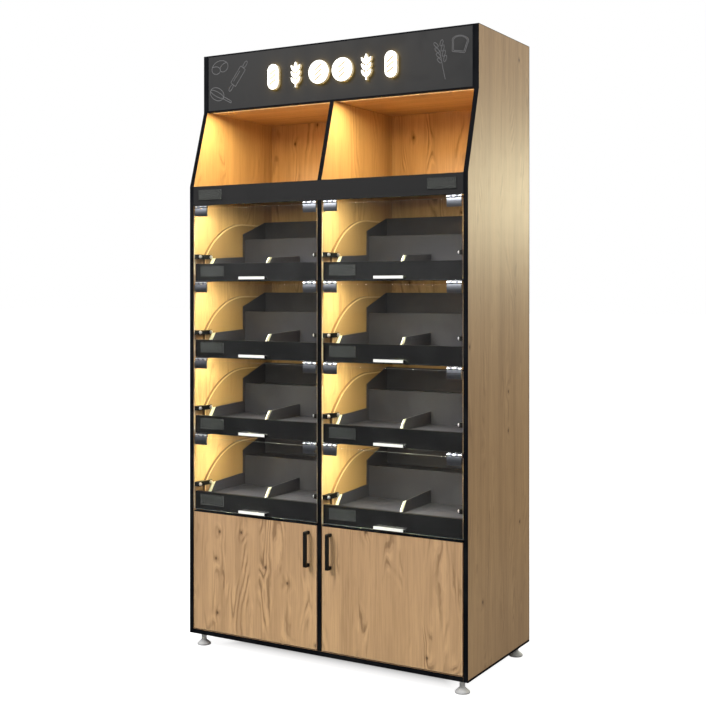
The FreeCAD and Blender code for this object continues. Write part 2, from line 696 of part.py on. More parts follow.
def flap_grip():
    """The bar handle of a flap, wider at its front, with its root on the plane y = 0."""
    spread = "(sizes.grip_height - sizes.grip_root) / 2"
    outline = [
        ("0", spread),
        ("0", spread + " + sizes.grip_root"),
        ("-sizes.grip_reach", "sizes.grip_height"),
        ("-sizes.grip_reach", "0"),
    ]
    return profile("flap_grip", outline, "sizes.grip_length")


def build_flaps():
    """Eight clear flaps with their handles and hinges."""
    plate, leaf, pin = hinge_parts()
    grip = flap_grip()
    plates = []
    pins = []
    for row, side in COMPARTMENTS:
        name = "%s_%d" % (word(side), row + 1)
        axis_z = "%s - places.hinge_drop" % band(row + 1)
        node("flap_panel_" + name,
             block("flap_panel_" + name, "places.flap_half * 2", "sizes.flap_thickness",
                   "places.flap_height", "%s - places.flap_half" % bay(side),
                   "places.front + sizes.flap_inset", band(row) + " + sizes.flap_bottom_gap"))
        node("flap_handle_" + name,
             [copy("grip_" + name, grip, "%s - sizes.grip_length / 2" % bay(side),
                   "places.front + sizes.flap_inset",
                   band(row) + " + sizes.flap_bottom_gap + sizes.grip_rise")])
        leaves = []
        for hand in SIDES:
            x = "%s + %d * places.hinge_offset" % (bay(side), hand)
            spot = "%s_%s" % (name, word(hand))
            plates.append(copy("plate_" + spot, plate, x, "places.hinge_y", axis_z))
            pins.append(copy("pin_" + spot, pin, x, "places.hinge_y", axis_z))
            leaves.append(copy("leaf_" + spot, leaf, x, "places.hinge_y", axis_z))
        node("flap_hinge_leaves_" + name, leaves)
    node("flap_hinge_plates", plates)
    node("flap_hinge_pins", pins)


def build_lights():
    """Light bars under the shelves and in the soffit, and what feeds them."""
    length = "places.light_length"
    body = block("light_body", length, "sizes.light_width", "sizes.light_height",
                 "-%s / 2" % length, "0", "-sizes.light_height")
    groove_width = "sizes.light_width - sizes.light_wall * 2"
    groove = block("light_groove", length + " + sizes.overrun * 2", groove_width,
                   "sizes.light_height", "-%s / 2 - sizes.overrun" % length,
                   "sizes.light_wall", "-sizes.light_height - sizes.light_wall")
    channel = cut("light_channel", body, groove)
    strip = block("light_strip", length, groove_width, "sizes.light_wall",
                  "-%s / 2" % length, "sizes.light_wall", "-sizes.light_height")
    diffuser = master("light_diffuser", strip)
    channels = []
    diffusers = []
    for row in range(1, ROWS + 2):
        in_header = row > ROWS
        y = "places.header_back" if in_header else "places.band_back"
        z = ("places.header_base + sizes.light_height" if in_header
             else band(row) + " + sizes.shelf_rise")
        for side in SIDES:
            name = "%d_%s" % (row, word(side))
            channels.append(copy("light_channel_" + name, channel, bay(side), y, z))
            diffusers.append(copy("light_diffuser_" + name, diffuser, bay(side), y, z))
    node("light_channels", channels)
    node("light_diffusers", diffusers)
    node("light_driver",
         block("light_driver", "sizes.driver_length", "sizes.driver_width", "sizes.driver_height",
               "places.bay_centre - sizes.driver_length / 2",
               "places.panel_front - sizes.driver_inset - sizes.driver_width",
               "places.header_base + sizes.board_thickness"))
    middle_x = "sizes.unit_width / 2 - sizes.inlet_side"
    middle_z = "places.top - sizes.inlet_drop"
    outer = "places.panel_front + sizes.back_thickness"
    inlet_body = block("inlet_body", "sizes.inlet_width", "sizes.inlet_depth", "sizes.inlet_height",
                       middle_x + " - sizes.inlet_width / 2", outer + " - sizes.inlet_depth",
                       middle_z + " - sizes.inlet_height / 2")
    flange = block("inlet_flange_plate", "sizes.inlet_width + sizes.inlet_flange * 2",
                   "sizes.inlet_flange_thickness", "sizes.inlet_height + sizes.inlet_flange * 2",
                   middle_x + " - sizes.inlet_width / 2 - sizes.inlet_flange", outer,
                   middle_z + " - sizes.inlet_height / 2 - sizes.inlet_flange")
    node("mains_inlet", fuse("mains_inlet", [inlet_body, flange]))


def build_cupboard():
    """Two doors with handles and cup hinges, inner shelves and their pegs."""
    bend = door_handle()
    arms = []
    for side in SIDES:
        name = word(side)
        free = "%d * (sizes.board_thickness / 2 + sizes.door_gap)" % side
        hinged = "%d * (places.inner_half - sizes.door_gap)" % side
        low_x = hinged if side < 0 else free
        slab = block("door_slab_" + name, "places.door_width", "sizes.board_thickness",
                     "places.door_top - places.door_bottom", low_x, "places.front",
                     "places.door_bottom")
        cup_x = "%s - (%d) * sizes.hinge_cup_inset" % (hinged, side)
        bores = []
        cups = []
        for index, z in enumerate(("places.door_bottom + sizes.hinge_cup_height",
                                   "places.door_top - sizes.hinge_cup_height")):
            tag = "%s_%d" % (name, index)
            bores.append(rod("cup_bore_" + tag, "sizes.hinge_cup_radius",
                             "sizes.hinge_cup_depth + sizes.overrun", cup_x,
                             "places.door_back - sizes.hinge_cup_depth", z, ALONG_Y))
            cups.append(hinge_cup("hinge_cup_" + tag, cup_x, z))
            arms.append(hinge_arm("hinge_arm_" + tag, side, z))
        node("door_panel_" + name, cut("door_panel_" + name, slab, fuse("cup_bores_" + name, bores)))
        node("door_hinge_cups_" + name, cups)
        handle_x = "%s + %d * sizes.door_handle_inset - sizes.door_handle_width / 2" % (free, side)
        node("door_handle_" + name,
             [copy("d_handle_" + name, bend, handle_x, "places.front",
                   "places.door_top - sizes.door_handle_drop - sizes.door_handle_length")])
    node("door_hinge_arms", arms)

    shelves = []
    pegs = []
    level = "sizes.foot_height + sizes.cupboard_shelf_height"
    front = "places.front + sizes.cupboard_shelf_setback"
    length = "places.panel_front - sizes.cupboard_shelf_gap - (%s)" % front
    for side in SIDES:
        name = word(side)
        shelves.append(block("inner_shelf_" + name,
                             "places.bay_width - sizes.cupboard_shelf_gap * 2", length,
                             "sizes.board_thickness",
                             inward(side, -1, "sizes.cupboard_shelf_gap", "0"), front, level))
        for wall in SIDES:
            for end, y in enumerate((front + " + sizes.peg_inset",
                                     "places.panel_front - sizes.peg_inset")):
                pegs.append(rod("peg_%s_%s_%d" % (name, word(wall), end), "sizes.peg_radius",
                                "sizes.peg_length", wall_x(side, wall), y,
                                level + " - sizes.peg_radius", FreeCAD.Vector(-wall, 0, 0)))
    node("cupboard_shelves", shelves)
    node("shelf_pegs", pegs)


def door_handle():
    """A D handle with its feet on the plane y = 0."""
    bar = "sizes.door_handle_bar"
    tall = "sizes.door_handle_length"
    reach = "sizes.door_handle_reach"
    outline = [
        ("0", "0"),
        ("-" + reach, "0"),
        ("-" + reach, tall),
        ("0", tall),
        ("0", "%s - %s" % (tall, bar)),
        ("-%s + %s" % (reach, bar), "%s - %s" % (tall, bar)),
        ("-%s + %s" % (reach, bar), bar),
        ("0", bar),
    ]
    body = profile("door_handle_bow", outline, "sizes.door_handle_width")
    doc.recompute()
    pad = body.Tip
    front = value("-" + reach)
    near = value("sizes.door_handle_bend") / 2
    corners = []
    for number, edge in enumerate(pad.Shape.Edges, start=1):
        box = edge.BoundBox
        if box.XLength > near and abs(box.YMax - front) < near:
            corners.append("Edge%d" % number)
    rounding = body.newObject("PartDesign::Fillet", "door_handle_rounding")
    rounding.Base = (pad, corners)
    rounding.setExpression("Radius", "sizes.door_handle_bend")
    return body


def hinge_cup(name, x, z):
    """A hinge cup in a door, with its flange on the door's back."""
    cup = rod(name + "_bowl", "sizes.hinge_cup_radius - sizes.hinge_cup_clearance",
              "sizes.hinge_cup_depth", x, "places.door_back - sizes.hinge_cup_depth", z, ALONG_Y)
    flange = block(name + "_flange", "sizes.hinge_cup_radius * 2", "sizes.hinge_flange",
                   "sizes.hinge_flange_width", "%s - sizes.hinge_cup_radius" % x,
                   "places.door_back", "%s - sizes.hinge_flange_width / 2" % z)
    return fuse(name, [cup, flange])


def hinge_arm(name, side, z):
    """A hinge arm on a side panel, with its mounting plate."""
    start = "places.door_back + sizes.hinge_flange + sizes.arm_gap"
    reach = "sizes.door_gap + sizes.hinge_cup_inset"
    plate_y = "%s + sizes.arm_length - sizes.arm_plate_length" % start
    arm = block(name + "_bar", reach, "sizes.arm_height", "sizes.arm_height",
                inward(side, side, "0", reach), start, "%s - sizes.arm_height / 2" % z)
    spine = block(name + "_spine", "sizes.arm_height", "sizes.arm_length", "sizes.arm_height",
                  inward(side, side, "0", "sizes.arm_height"), start,
                  "%s - sizes.arm_height / 2" % z)
    plate = block(name + "_plate", "sizes.arm_plate", "sizes.arm_plate_length",
                  "sizes.arm_plate_height", inward(side, side, "0", "sizes.arm_plate"), plate_y,
                  "%s - sizes.arm_plate_height / 2" % z)
    return fuse(name, [arm, spine, plate])


def build_feet():
    """Four levelling feet."""
    outline = [
        ("0", "0"),
        ("sizes.foot_radius", "0"),
        ("sizes.foot_radius", "sizes.foot_rim"),
        ("sizes.foot_stem_radius", "sizes.foot_rim + sizes.foot_cone"),
        ("sizes.foot_stem_radius", "sizes.foot_height - sizes.foot_head"),
        ("sizes.foot_head_radius", "sizes.foot_height - sizes.foot_head"),
        ("sizes.foot_head_radius", "sizes.foot_height"),
        ("0", "sizes.foot_height"),
    ]
    body, sketch = sketched_body("foot_master", "XZ_Plane", outline)
    turned = body.newObject("PartDesign::Revolution", "foot_turned")
    turned.Profile = sketch
    turned.ReferenceAxis = (sketch, ["V_Axis"])
    turned.Angle = 360
    feet = []
    for side in SIDES:
        x = "%d * (sizes.unit_width / 2 - sizes.foot_inset)" % side
        feet.append(copy("foot_front_" + word(side), body, x, "places.front + sizes.foot_inset", "0"))
        feet.append(copy("foot_rear_" + word(side), body, x, "places.rear - sizes.foot_inset", "0"))
    node("levelling_feet", feet)


def slash_cuts(name):
    """Leaning open cuts, one above another, that cross a motif."""
    cuts = []
    for index in range(MOTIF_SLASHES):
        offset = index - (MOTIF_SLASHES - 1) / 2
        tool = doc.addObject("Part::Box", "%s_cut_%d" % (name, index))
        bind(tool, Length="sizes.slash_length", Height="sizes.slash_width",
             Width="sizes.motif_thickness + sizes.overrun * 2")
        lean(tool, FreeCAD.Vector(0, -1, 0), "angles.slash_turn")
        drop_x = "sizes.slash_length / 2 * cos(angles.slash_turn * 1 deg)"
        drop_z = "sizes.slash_length / 2 * sin(angles.slash_turn * 1 deg)"
        put(tool, "-(%s)" % drop_x, "-sizes.motif_thickness - sizes.overrun",
            "%s * sizes.slash_pitch - sizes.slash_width / 2 - %s" % (offset, drop_z))
        cuts.append(tool)
    return fuse(name + "_cuts", cuts)


def bun(name):
    """A round bun with three cuts, its back on the plane y = 0."""
    disc = rod(name + "_disc", "sizes.bun_radius", "sizes.motif_thickness",
               "0", "-sizes.motif_thickness", "0", ALONG_Y)
    return cut(name, disc, slash_cuts(name))


def loaf(name):
    """A long loaf with rounded ends and three cuts, its back on the plane y = 0."""
    straight = "sizes.motif_height - sizes.loaf_radius * 2"
    middle = block(name + "_middle", "sizes.loaf_radius * 2", "sizes.motif_thickness", straight,
                   "-sizes.loaf_radius", "-sizes.motif_thickness", "-(%s) / 2" % straight)
    ends = [rod("%s_end_%d" % (name, index), "sizes.loaf_radius", "sizes.motif_thickness",
                "0", "-sizes.motif_thickness", "%s(%s) / 2" % (sign, straight), ALONG_Y)
            for index, sign in enumerate(("-", ""))]
    return cut(name, fuse(name + "_body", [middle] + ends), slash_cuts(name))


def ear(name):
    """An ear with a stem, pairs of leaning grains and one grain at its tip. A grain is what two
    large rounds have in common."""
    radius = "(sizes.grain_length ^ 2 + sizes.grain_width ^ 2) / (4 * sizes.grain_width)"
    tip = "sizes.motif_height / 2 - sizes.grain_length / 2"
    stem = block(name + "_stem", "sizes.stem_width", "sizes.motif_thickness",
                 tip + " + sizes.motif_height / 2", "-sizes.stem_width / 2",
                 "-sizes.motif_thickness", "-sizes.motif_height / 2")
    pieces = [stem]
    spots = [("tip", "0", tip, 0)]
    for pair in range(GRAIN_PAIRS):
        level = "sizes.motif_height / 2 - sizes.grain_drop - sizes.grain_pitch * %d" % pair
        for hand in SIDES:
            spots.append(("%d_%s" % (pair, word(hand)), "%d * sizes.grain_offset" % hand, level, hand))
    for tag, x, z, hand in spots:
        halves = []
        for face in SIDES:
            offset = "%d * (%s - sizes.grain_width / 2)" % (face, radius)
            angle = "%d * angles.grain_turn * 1 deg" % hand
            halves.append(rod("%s_%s_%s" % (name, tag, word(face)), radius,
                              "sizes.motif_thickness",
                              "%s + %s * cos(%s)" % (x, offset, angle), "-sizes.motif_thickness",
                              "%s - %s * sin(%s)" % (z, offset, angle), ALONG_Y))
        grain = doc.addObject("Part::MultiCommon", "%s_grain_%s" % (name, tag))
        grain.Shapes = halves
        pieces.append(grain)
    return fuse(name, pieces)


def build_motifs():
    """Six raised lit motifs on the fascia: loaf, ear, bun, bun, ear, loaf."""
    masters = [loaf("motif_loaf"), ear("motif_ear"), bun("motif_bun")]
    order = [0, 1, 2, 2, 1, 0]
    face = "places.front + sizes.header_setback"
    middle = "places.header_base + sizes.header_height / 2"
    motifs = []
    for index, kind in enumerate(order):
        x = "(%s) * sizes.motif_pitch" % (index - (len(order) - 1) / 2)
        motifs.append(copy("motif_%d" % index, masters[kind], x, face, middle))
    node("header_lit_motifs", motifs)


def check_and_export():
    """Stop if anything failed, then write each node to its own file."""
    for item in doc.Objects:
        if "Invalid" in item.State or "Error" in item.State:
            raise RuntimeError("%s failed: %s" % (item.Name, item.State))
    for item in nodes:
        shape = item.Shape
        if shape.isNull() or not shape.isValid() or shape.Volume <= 0:
            raise RuntimeError("%s has no sound shape" % item.Label)
    os.makedirs("parts", exist_ok=True)
    for item in nodes:
        item.Shape.exportStep("parts/%s.step" % item.Label)
        print(item.Label, len(item.Shape.Solids), round(item.Shape.Volume))


build_carcass()
build_shelves()
build_ticket_holders()
build_cheeks()
build_trays()
build_flaps()
build_lights()
build_cupboard()
build_feet()
build_motifs()
doc.recompute()
check_and_export()
print(len(nodes), "nodes")
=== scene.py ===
"""Looks of a two-bay bakery display unit, dressed sub-assembly by sub-assembly over its frame."""
import json
import logging
import math
from collections.abc import Callable, Sequence
from dataclasses import dataclass
from enum import Enum

import bmesh
import bpy
from bmesh.types import BMesh, BMFace
from bpy.types import Material, Mesh, Node, NodeSocket, NodeTree, Object
from mathutils import Matrix, Vector
from mathutils.bvhtree import BVHTree

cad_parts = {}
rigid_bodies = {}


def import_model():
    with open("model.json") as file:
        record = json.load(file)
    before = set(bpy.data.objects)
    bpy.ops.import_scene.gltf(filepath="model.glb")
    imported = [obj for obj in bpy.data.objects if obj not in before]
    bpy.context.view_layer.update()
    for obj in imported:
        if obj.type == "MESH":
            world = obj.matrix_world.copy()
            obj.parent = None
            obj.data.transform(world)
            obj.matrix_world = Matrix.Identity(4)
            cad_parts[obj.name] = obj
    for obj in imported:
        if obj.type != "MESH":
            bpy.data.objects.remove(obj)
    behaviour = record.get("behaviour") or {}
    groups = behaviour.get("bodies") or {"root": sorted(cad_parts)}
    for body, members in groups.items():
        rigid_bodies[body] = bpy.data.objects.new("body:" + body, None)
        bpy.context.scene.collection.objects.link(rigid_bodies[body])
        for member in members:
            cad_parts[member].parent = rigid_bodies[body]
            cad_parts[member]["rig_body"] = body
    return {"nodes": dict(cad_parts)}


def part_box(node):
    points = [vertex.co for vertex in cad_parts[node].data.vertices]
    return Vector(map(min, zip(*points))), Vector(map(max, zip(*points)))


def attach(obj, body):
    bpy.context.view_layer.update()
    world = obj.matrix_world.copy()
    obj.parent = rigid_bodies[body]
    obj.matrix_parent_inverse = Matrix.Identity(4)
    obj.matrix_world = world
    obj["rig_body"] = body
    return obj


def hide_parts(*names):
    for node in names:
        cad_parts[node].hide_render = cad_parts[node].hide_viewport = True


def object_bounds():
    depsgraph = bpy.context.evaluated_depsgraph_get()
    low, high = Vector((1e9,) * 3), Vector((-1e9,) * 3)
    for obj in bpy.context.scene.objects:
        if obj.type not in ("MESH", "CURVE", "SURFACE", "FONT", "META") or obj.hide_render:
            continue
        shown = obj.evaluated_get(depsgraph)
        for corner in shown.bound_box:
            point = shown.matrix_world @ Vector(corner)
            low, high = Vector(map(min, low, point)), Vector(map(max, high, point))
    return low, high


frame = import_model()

LOG = logging.getLogger("display_unit")
CAD_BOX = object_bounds()

Colour = tuple[float, float, float]
Spot = tuple[float, float, float]
Flat = tuple[float, float]
Span = tuple[float, float, float, float]
Line = list[Flat]
Chooser = Callable[[BMFace], int]

MERGE_DISTANCE = 1e-5
FLAT_ANGLE = math.radians(0.5)
SHARP_ANGLE = math.radians(30)
# The part of a face's normal along an axis, where the face leans, is half turned or square to it.
LEANING = 0.3
HALF_TURNED = 0.5
SQUARE_ON = 0.9
# Steps of the rounding on pieces that are seen close.
FINE_STEPS = 3
ACROSS = Vector((1, 0, 0))
REARWARD = Vector((0, 1, 0))
UP = Vector((0, 0, 1))
ROWS = range(1, 5)
SIDES = ("left", "right")


class Canvas:
    """Adds nodes to one node tree and links them."""

    def __init__(self, tree: NodeTree) -> None:
        """Take the tree to work on."""
        self.tree = tree

    def add(self, kind: str, inputs: dict | None = None, **settings: object) -> Node:
        """Add a node.

        Args:
            kind: The node's type.
            inputs: Values for its sockets by name or number, or the sockets that feed them.
            settings: Properties of the node.

        Returns:
            The new node.
        """
        node = self.tree.nodes.new(kind)
        for name, setting in settings.items():
            setattr(node, name, setting)
        for key, value in (inputs or {}).items():
            if isinstance(value, NodeSocket):
                self.tree.links.new(value, node.inputs[key])
            elif isinstance(value, tuple) and len(value) == 3 and node.inputs[key].type == "RGBA":
                node.inputs[key].default_value = (*value, 1)
            else:
                node.inputs[key].default_value = value
        return node

    def maths(self, operation: str, *values: float | NodeSocket) -> NodeSocket:
        """The result of a Math node."""
        return self.add("ShaderNodeMath", dict(enumerate(values)), operation=operation).outputs[0]

    def span(self, value: NodeSocket, low: float, high: float, start: float = 0,
             end: float = 1) -> NodeSocket:
        """A value eased from the range low to high onto the range start to end."""
        node = self.add("ShaderNodeMapRange", {0: value, 1: low, 2: high, 3: start, 4: end},
                        interpolation_type="SMOOTHSTEP")
        return node.outputs[0]

    def mix(self, factor: float | NodeSocket, first: Colour | NodeSocket,
            second: Colour | NodeSocket) -> NodeSocket:
        """Two colours mixed, with the factor as the second one's share."""
        node = self.add("ShaderNodeMix", {0: factor, 6: first, 7: second}, data_type="RGBA")
        return node.outputs[2]

    def blend(self, factor: NodeSocket, first: float | NodeSocket,
              second: float | NodeSocket) -> NodeSocket:
        """Two numbers mixed, with the factor as the second one's share."""
        return self.add("ShaderNodeMix", {0: factor, 2: first, 3: second}).outputs[0]

    def stretched(self, vector: NodeSocket, scale: Spot, offset: float = 0) -> NodeSocket:
        """A vector scaled by axis and shifted alike on all of them."""
        node = self.add("ShaderNodeMapping", {"Vector": vector, "Scale": scale,
                                              "Location": (offset, offset, offset)})
        return node.outputs[0]

    def noise(self, vector: NodeSocket, scale: float = 1, detail: float = 2,
              distortion: float = 0) -> NodeSocket:
        """A value of fractal noise."""
        node = self.add("ShaderNodeTexNoise", {"Vector": vector, "Scale": scale, "Detail": detail,
                                               "Distortion": distortion})
        return node.outputs[0]

    def place(self) -> NodeSocket:
        """The piece's own coordinates."""
        return self.add("ShaderNodeTexCoord").outputs["Object"]

    def bump(self, strength: float, depth: float, height: NodeSocket) -> NodeSocket:
        """The normal of a surface with a relief of this depth."""
        return self.add("ShaderNodeBump", {"Strength": strength, "Distance": depth,
                                           "Height": height}).outputs[0]

    def close(self, result: Node, values: dict[str, NodeSocket]) -> NodeTree:
        """Link a group's outputs by name.

        Args:
            result: The group's output node.
            values: What each of its outputs gets.

        Returns:
            The finished group.
        """
        for name, value in values.items():
            self.tree.links.new(value, result.inputs[name])
        return self.tree


@dataclass(frozen=True)
class Layer:
    """A layer of noise: its stretch by axis, its shift, and the range eased onto 0 to 1."""

    stretch: Spot
    shift: float = 0
    detail: float = 2
    distortion: float = 0
    eased: Flat | None = None

    def on(self, canvas: Canvas, vector: NodeSocket) -> NodeSocket:
        """The layer's value at a vector, on a canvas."""
        noise = canvas.noise(canvas.stretched(vector, self.stretch, self.shift), 1, self.detail,
                             self.distortion)
        return canvas.span(noise, *self.eased) if self.eased else noise


def new_group(name: str, kind: str, inputs: Sequence[tuple[str, str, object]],
              outputs: Sequence[tuple[str, str]]) -> tuple[Canvas, Node, Node]:
    """Make a node group with named sockets.

    Args:
        name: The group's name.
        kind: ShaderNodeTree or GeometryNodeTree.
        inputs: Name, socket type and default, or None, of each input.
        outputs: Name and socket type of each output.

    Returns:
        A canvas on the group, its input node and its output node.
    """
    tree = bpy.data.node_groups.new(name, kind)
    for label, socket_type, default in inputs:
        socket = tree.interface.new_socket(name=label, in_out="INPUT", socket_type=socket_type)
        if default is not None:
            socket.default_value = default
    for label, socket_type in outputs:
        tree.interface.new_socket(name=label, in_out="OUTPUT", socket_type=socket_type)
    canvas = Canvas(tree)
    return canvas, canvas.add("NodeGroupInput"), canvas.add("NodeGroupOutput")


@dataclass(frozen=True)
class OakFigure:
    """Oak figure in a space whose Z runs along the grain."""

    knot_stretch: Spot = (9, 1, 7)
    knot_shift: float = 27.28
    knot_core: Flat = (0.055, 0.024)
    knot_rim: Flat = (0.14, 0.03)
    knot_swell: Span = (0.42, 0.0, 0, 0.035)
    knot_curl: Span = (0.4, 0.15, 0, 0.45)
    core_share: float = 0.85
    core_colour: Colour = (0.085, 0.04, 0.018)
    rings: Layer = Layer((8, 5, 1.5), 3.1, 1.5, 0.5)
    waver: Layer = Layer((42, 30, 15), 4.1)
    waver_share: float = 0.045
    ring_count: float = 112
    ring_lines: Flat = (0.25, 1.0)
    ring_glints: Flat = (-0.3, -1.0)
    curled: Layer = Layer((15, 8, 2.7), 1.7, eased=(0.5, 0.66))
    streaks: Layer = Layer((30, 20, 0.7), 5.9, 4, eased=(0.4, 0.75))
    fibres: Layer = Layer((240, 120, 7), 2.2, eased=(0.35, 0.7))
    tone: Layer = Layer((8, 4, 0.9), 9.2, eased=(0.3, 0.7))
    pores: Layer = Layer((620, 620, 16), eased=(0.58, 0.7))
    line_share: float = 0.52
    glint_share: float = -0.32
    streak_share: float = 0.6
    fibre_share: float = 0.2
    tone_share: float = 0.22
    pore_share: float = 0.12
    rim_share: float = 0.4
    line_height: float = 0.25

    def build(self) -> NodeTree:
        """Make the figure.

        Returns:
            A shader group with a colour, a gloss mask and a height.
        """
        canvas, source, result = new_group(
            "oak_figure", "ShaderNodeTree",
            [("Vector", "NodeSocketVector", None),
             ("Light", "NodeSocketColor", (0.5, 0.34, 0.19, 1)),
             ("Dark", "NodeSocketColor", (0.3, 0.18, 0.09, 1)), ("Knots", "NodeSocketFloat", 0.5),
             ("Curl", "NodeSocketFloat", 1.0), ("Streaks", "NodeSocketFloat", 0.5)],
            [("Color", "NodeSocketColor"), ("Pores", "NodeSocketFloat"),
             ("Height", "NodeSocketFloat")])
        vector = source.outputs["Vector"]
        core, rim, swell, around = self.knots(canvas, vector, source.outputs["Knots"])
        field = canvas.maths("MULTIPLY_ADD", self.waver.on(canvas, vector), self.waver_share,
                             self.rings.on(canvas, vector))
        field = canvas.maths("ADD", field, swell)
        waves = canvas.maths("SINE", canvas.maths("MULTIPLY", field, self.ring_count))
        lines = canvas.span(waves, *self.ring_lines)
        glints = canvas.span(waves, *self.ring_glints)
        curl = canvas.maths("MAXIMUM", self.curled.on(canvas, vector), around)
        curl = canvas.maths("MULTIPLY", curl, source.outputs["Curl"])
        streaks = canvas.maths("MULTIPLY", self.streaks.on(canvas, vector),
                               source.outputs["Streaks"])
        pores = self.pores.on(canvas, vector)
        dark = canvas.maths("MULTIPLY", canvas.maths("MULTIPLY", lines, curl), self.line_share)
        for mask, share in ((canvas.maths("MULTIPLY", glints, curl), self.glint_share),
                            (streaks, self.streak_share),
                            (self.fibres.on(canvas, vector), self.fibre_share),
                            (self.tone.on(canvas, vector), self.tone_share),
                            (pores, self.pore_share), (rim, self.rim_share)):
            dark = canvas.maths("MULTIPLY_ADD", mask, share, dark)
        dark = canvas.maths("MAXIMUM", canvas.maths("MINIMUM", dark, 1), 0)
        colour = canvas.mix(dark, source.outputs["Light"], source.outputs["Dark"])
        colour = canvas.mix(canvas.maths("MULTIPLY", core, self.core_share), colour,
                            self.core_colour)
        height = canvas.maths("MULTIPLY_ADD", lines, self.line_height,
                              canvas.maths("MULTIPLY", pores, -1))
        return canvas.close(result, {"Color": colour, "Pores": pores, "Height": height})

    def knots(self, canvas: Canvas, vector: NodeSocket, share: NodeSocket) -> list[NodeSocket]:
        """Masks about the knots.

        Args:
            canvas: The group's canvas.
            vector: The figure's space.
            share: The share of places that hold a knot.

        Returns:
            The core, the rim, the swell of the rings and the curled grain around.
        """
        parts = canvas.add("ShaderNodeSeparateXYZ", {
            0: canvas.stretched(vector, self.knot_stretch, self.knot_shift)})
        board = canvas.add("ShaderNodeCombineXYZ", {0: parts.outputs[0], 1: parts.outputs[2]})
        cells = canvas.add("ShaderNodeTexVoronoi", {"Vector": board.outputs[0], "Scale": 1.0},
                           voronoi_dimensions="2D")
        chance = canvas.add("ShaderNodeSeparateColor", {0: cells.outputs["Color"]}).outputs[0]
        here = canvas.maths("LESS_THAN", chance, share)
        distance = cells.outputs["Distance"]
        return [canvas.maths("MULTIPLY", here, canvas.span(distance, *reach))
                for reach in (self.knot_core, self.knot_rim, self.knot_swell, self.knot_curl)]


@dataclass(frozen=True)
class FineSkin:
    """The fine skin of a laminate, lacquer or moulded part."""

    speckle_scale: float = 260
    speckle_detail: float = 3
    pearl_share: float = 0.7
    smudge_scale: float = 9
    smudge_detail: float = 5
    smudge_distortion: float = 0.6
    smudge_range: Flat = (0.42, 0.66)

    def build(self) -> NodeTree:
        """Make the skin.

        Returns:
            A shader group with a height for the skin and a mask for handled, smudged places.
        """
        canvas, source, result = new_group(
            "fine_skin", "ShaderNodeTree",
            [("Vector", "NodeSocketVector", None), ("Scale", "NodeSocketFloat", 900.0)],
            [("Height", "NodeSocketFloat"), ("Smudges", "NodeSocketFloat")])
        vector = source.outputs["Vector"]
        pearls = canvas.add("ShaderNodeTexVoronoi", {
            "Vector": vector, "Scale": source.outputs["Scale"]}, feature="SMOOTH_F1")
        height = canvas.maths("MULTIPLY_ADD", pearls.outputs["Distance"], self.pearl_share,
                              canvas.noise(vector, self.speckle_scale, self.speckle_detail))
        cloud = canvas.noise(vector, self.smudge_scale, self.smudge_detail,
                             self.smudge_distortion)
        smudges = canvas.span(cloud, *self.smudge_range)
        return canvas.close(result, {"Height": height, "Smudges": smudges})


@dataclass(frozen=True)
class BrushedLines:
    """Fine lines left by brushing or polishing, along the X axis of their vector."""

    fine: Layer = Layer((35, 2400, 2400), detail=3)
    broad: Layer = Layer((8, 240, 240), 4.4)
    share: float = 0.6
    eased: Flat = (0.4, 0.8)

    def build(self) -> NodeTree:
        """Make the lines.

        Returns:
            A shader group with a mask of the lines.
        """
        canvas, source, result = new_group("brushed_lines", "ShaderNodeTree",
                                           [("Vector", "NodeSocketVector", None)],
                                           [("Lines", "NodeSocketFloat")])
        vector = source.outputs["Vector"]
        fine = canvas.maths("MULTIPLY", self.fine.on(canvas, vector), self.share)
        total = canvas.maths("MULTIPLY_ADD", self.broad.on(canvas, vector), self.share, fine)
        return canvas.close(result, {"Lines": canvas.span(total, *self.eased)})


OAK_FIGURE = OakFigure().build()
FINE_SKIN = FineSkin().build()
BRUSHED_LINES = BrushedLines().build()


class Grain(Enum):
    """How a board lies. Rows give the across, depth and along axes of its figure."""

    FRONT = ((1, 0, 0), (0, 1, 0), (0, 0, 1))
    SIDE = ((0, 1, 0), (-1, 0, 0), (0, 0, 1))
    SHELF = ((0, 1, 0), (0, 0, 1), (1, 0, 0))


class Brushing(Enum):
    """Which way a metal part is brushed, as the turn of its pattern."""

    ALONG_X = (0, 0, 0)
    ALONG_Y = (0, 0, -math.pi / 2)


def new_material(name: str) -> tuple[Material, Canvas, Node]:
    """Make an empty node material.

    Args:
        name: Its name.

    Returns:
        The material, its canvas and its output node.
    """
    material = bpy.data.materials.new(name)
    material.use_nodes = True
    material.node_tree.nodes.clear()
    canvas = Canvas(material.node_tree)
    return material, canvas, canvas.add("ShaderNodeOutputMaterial")


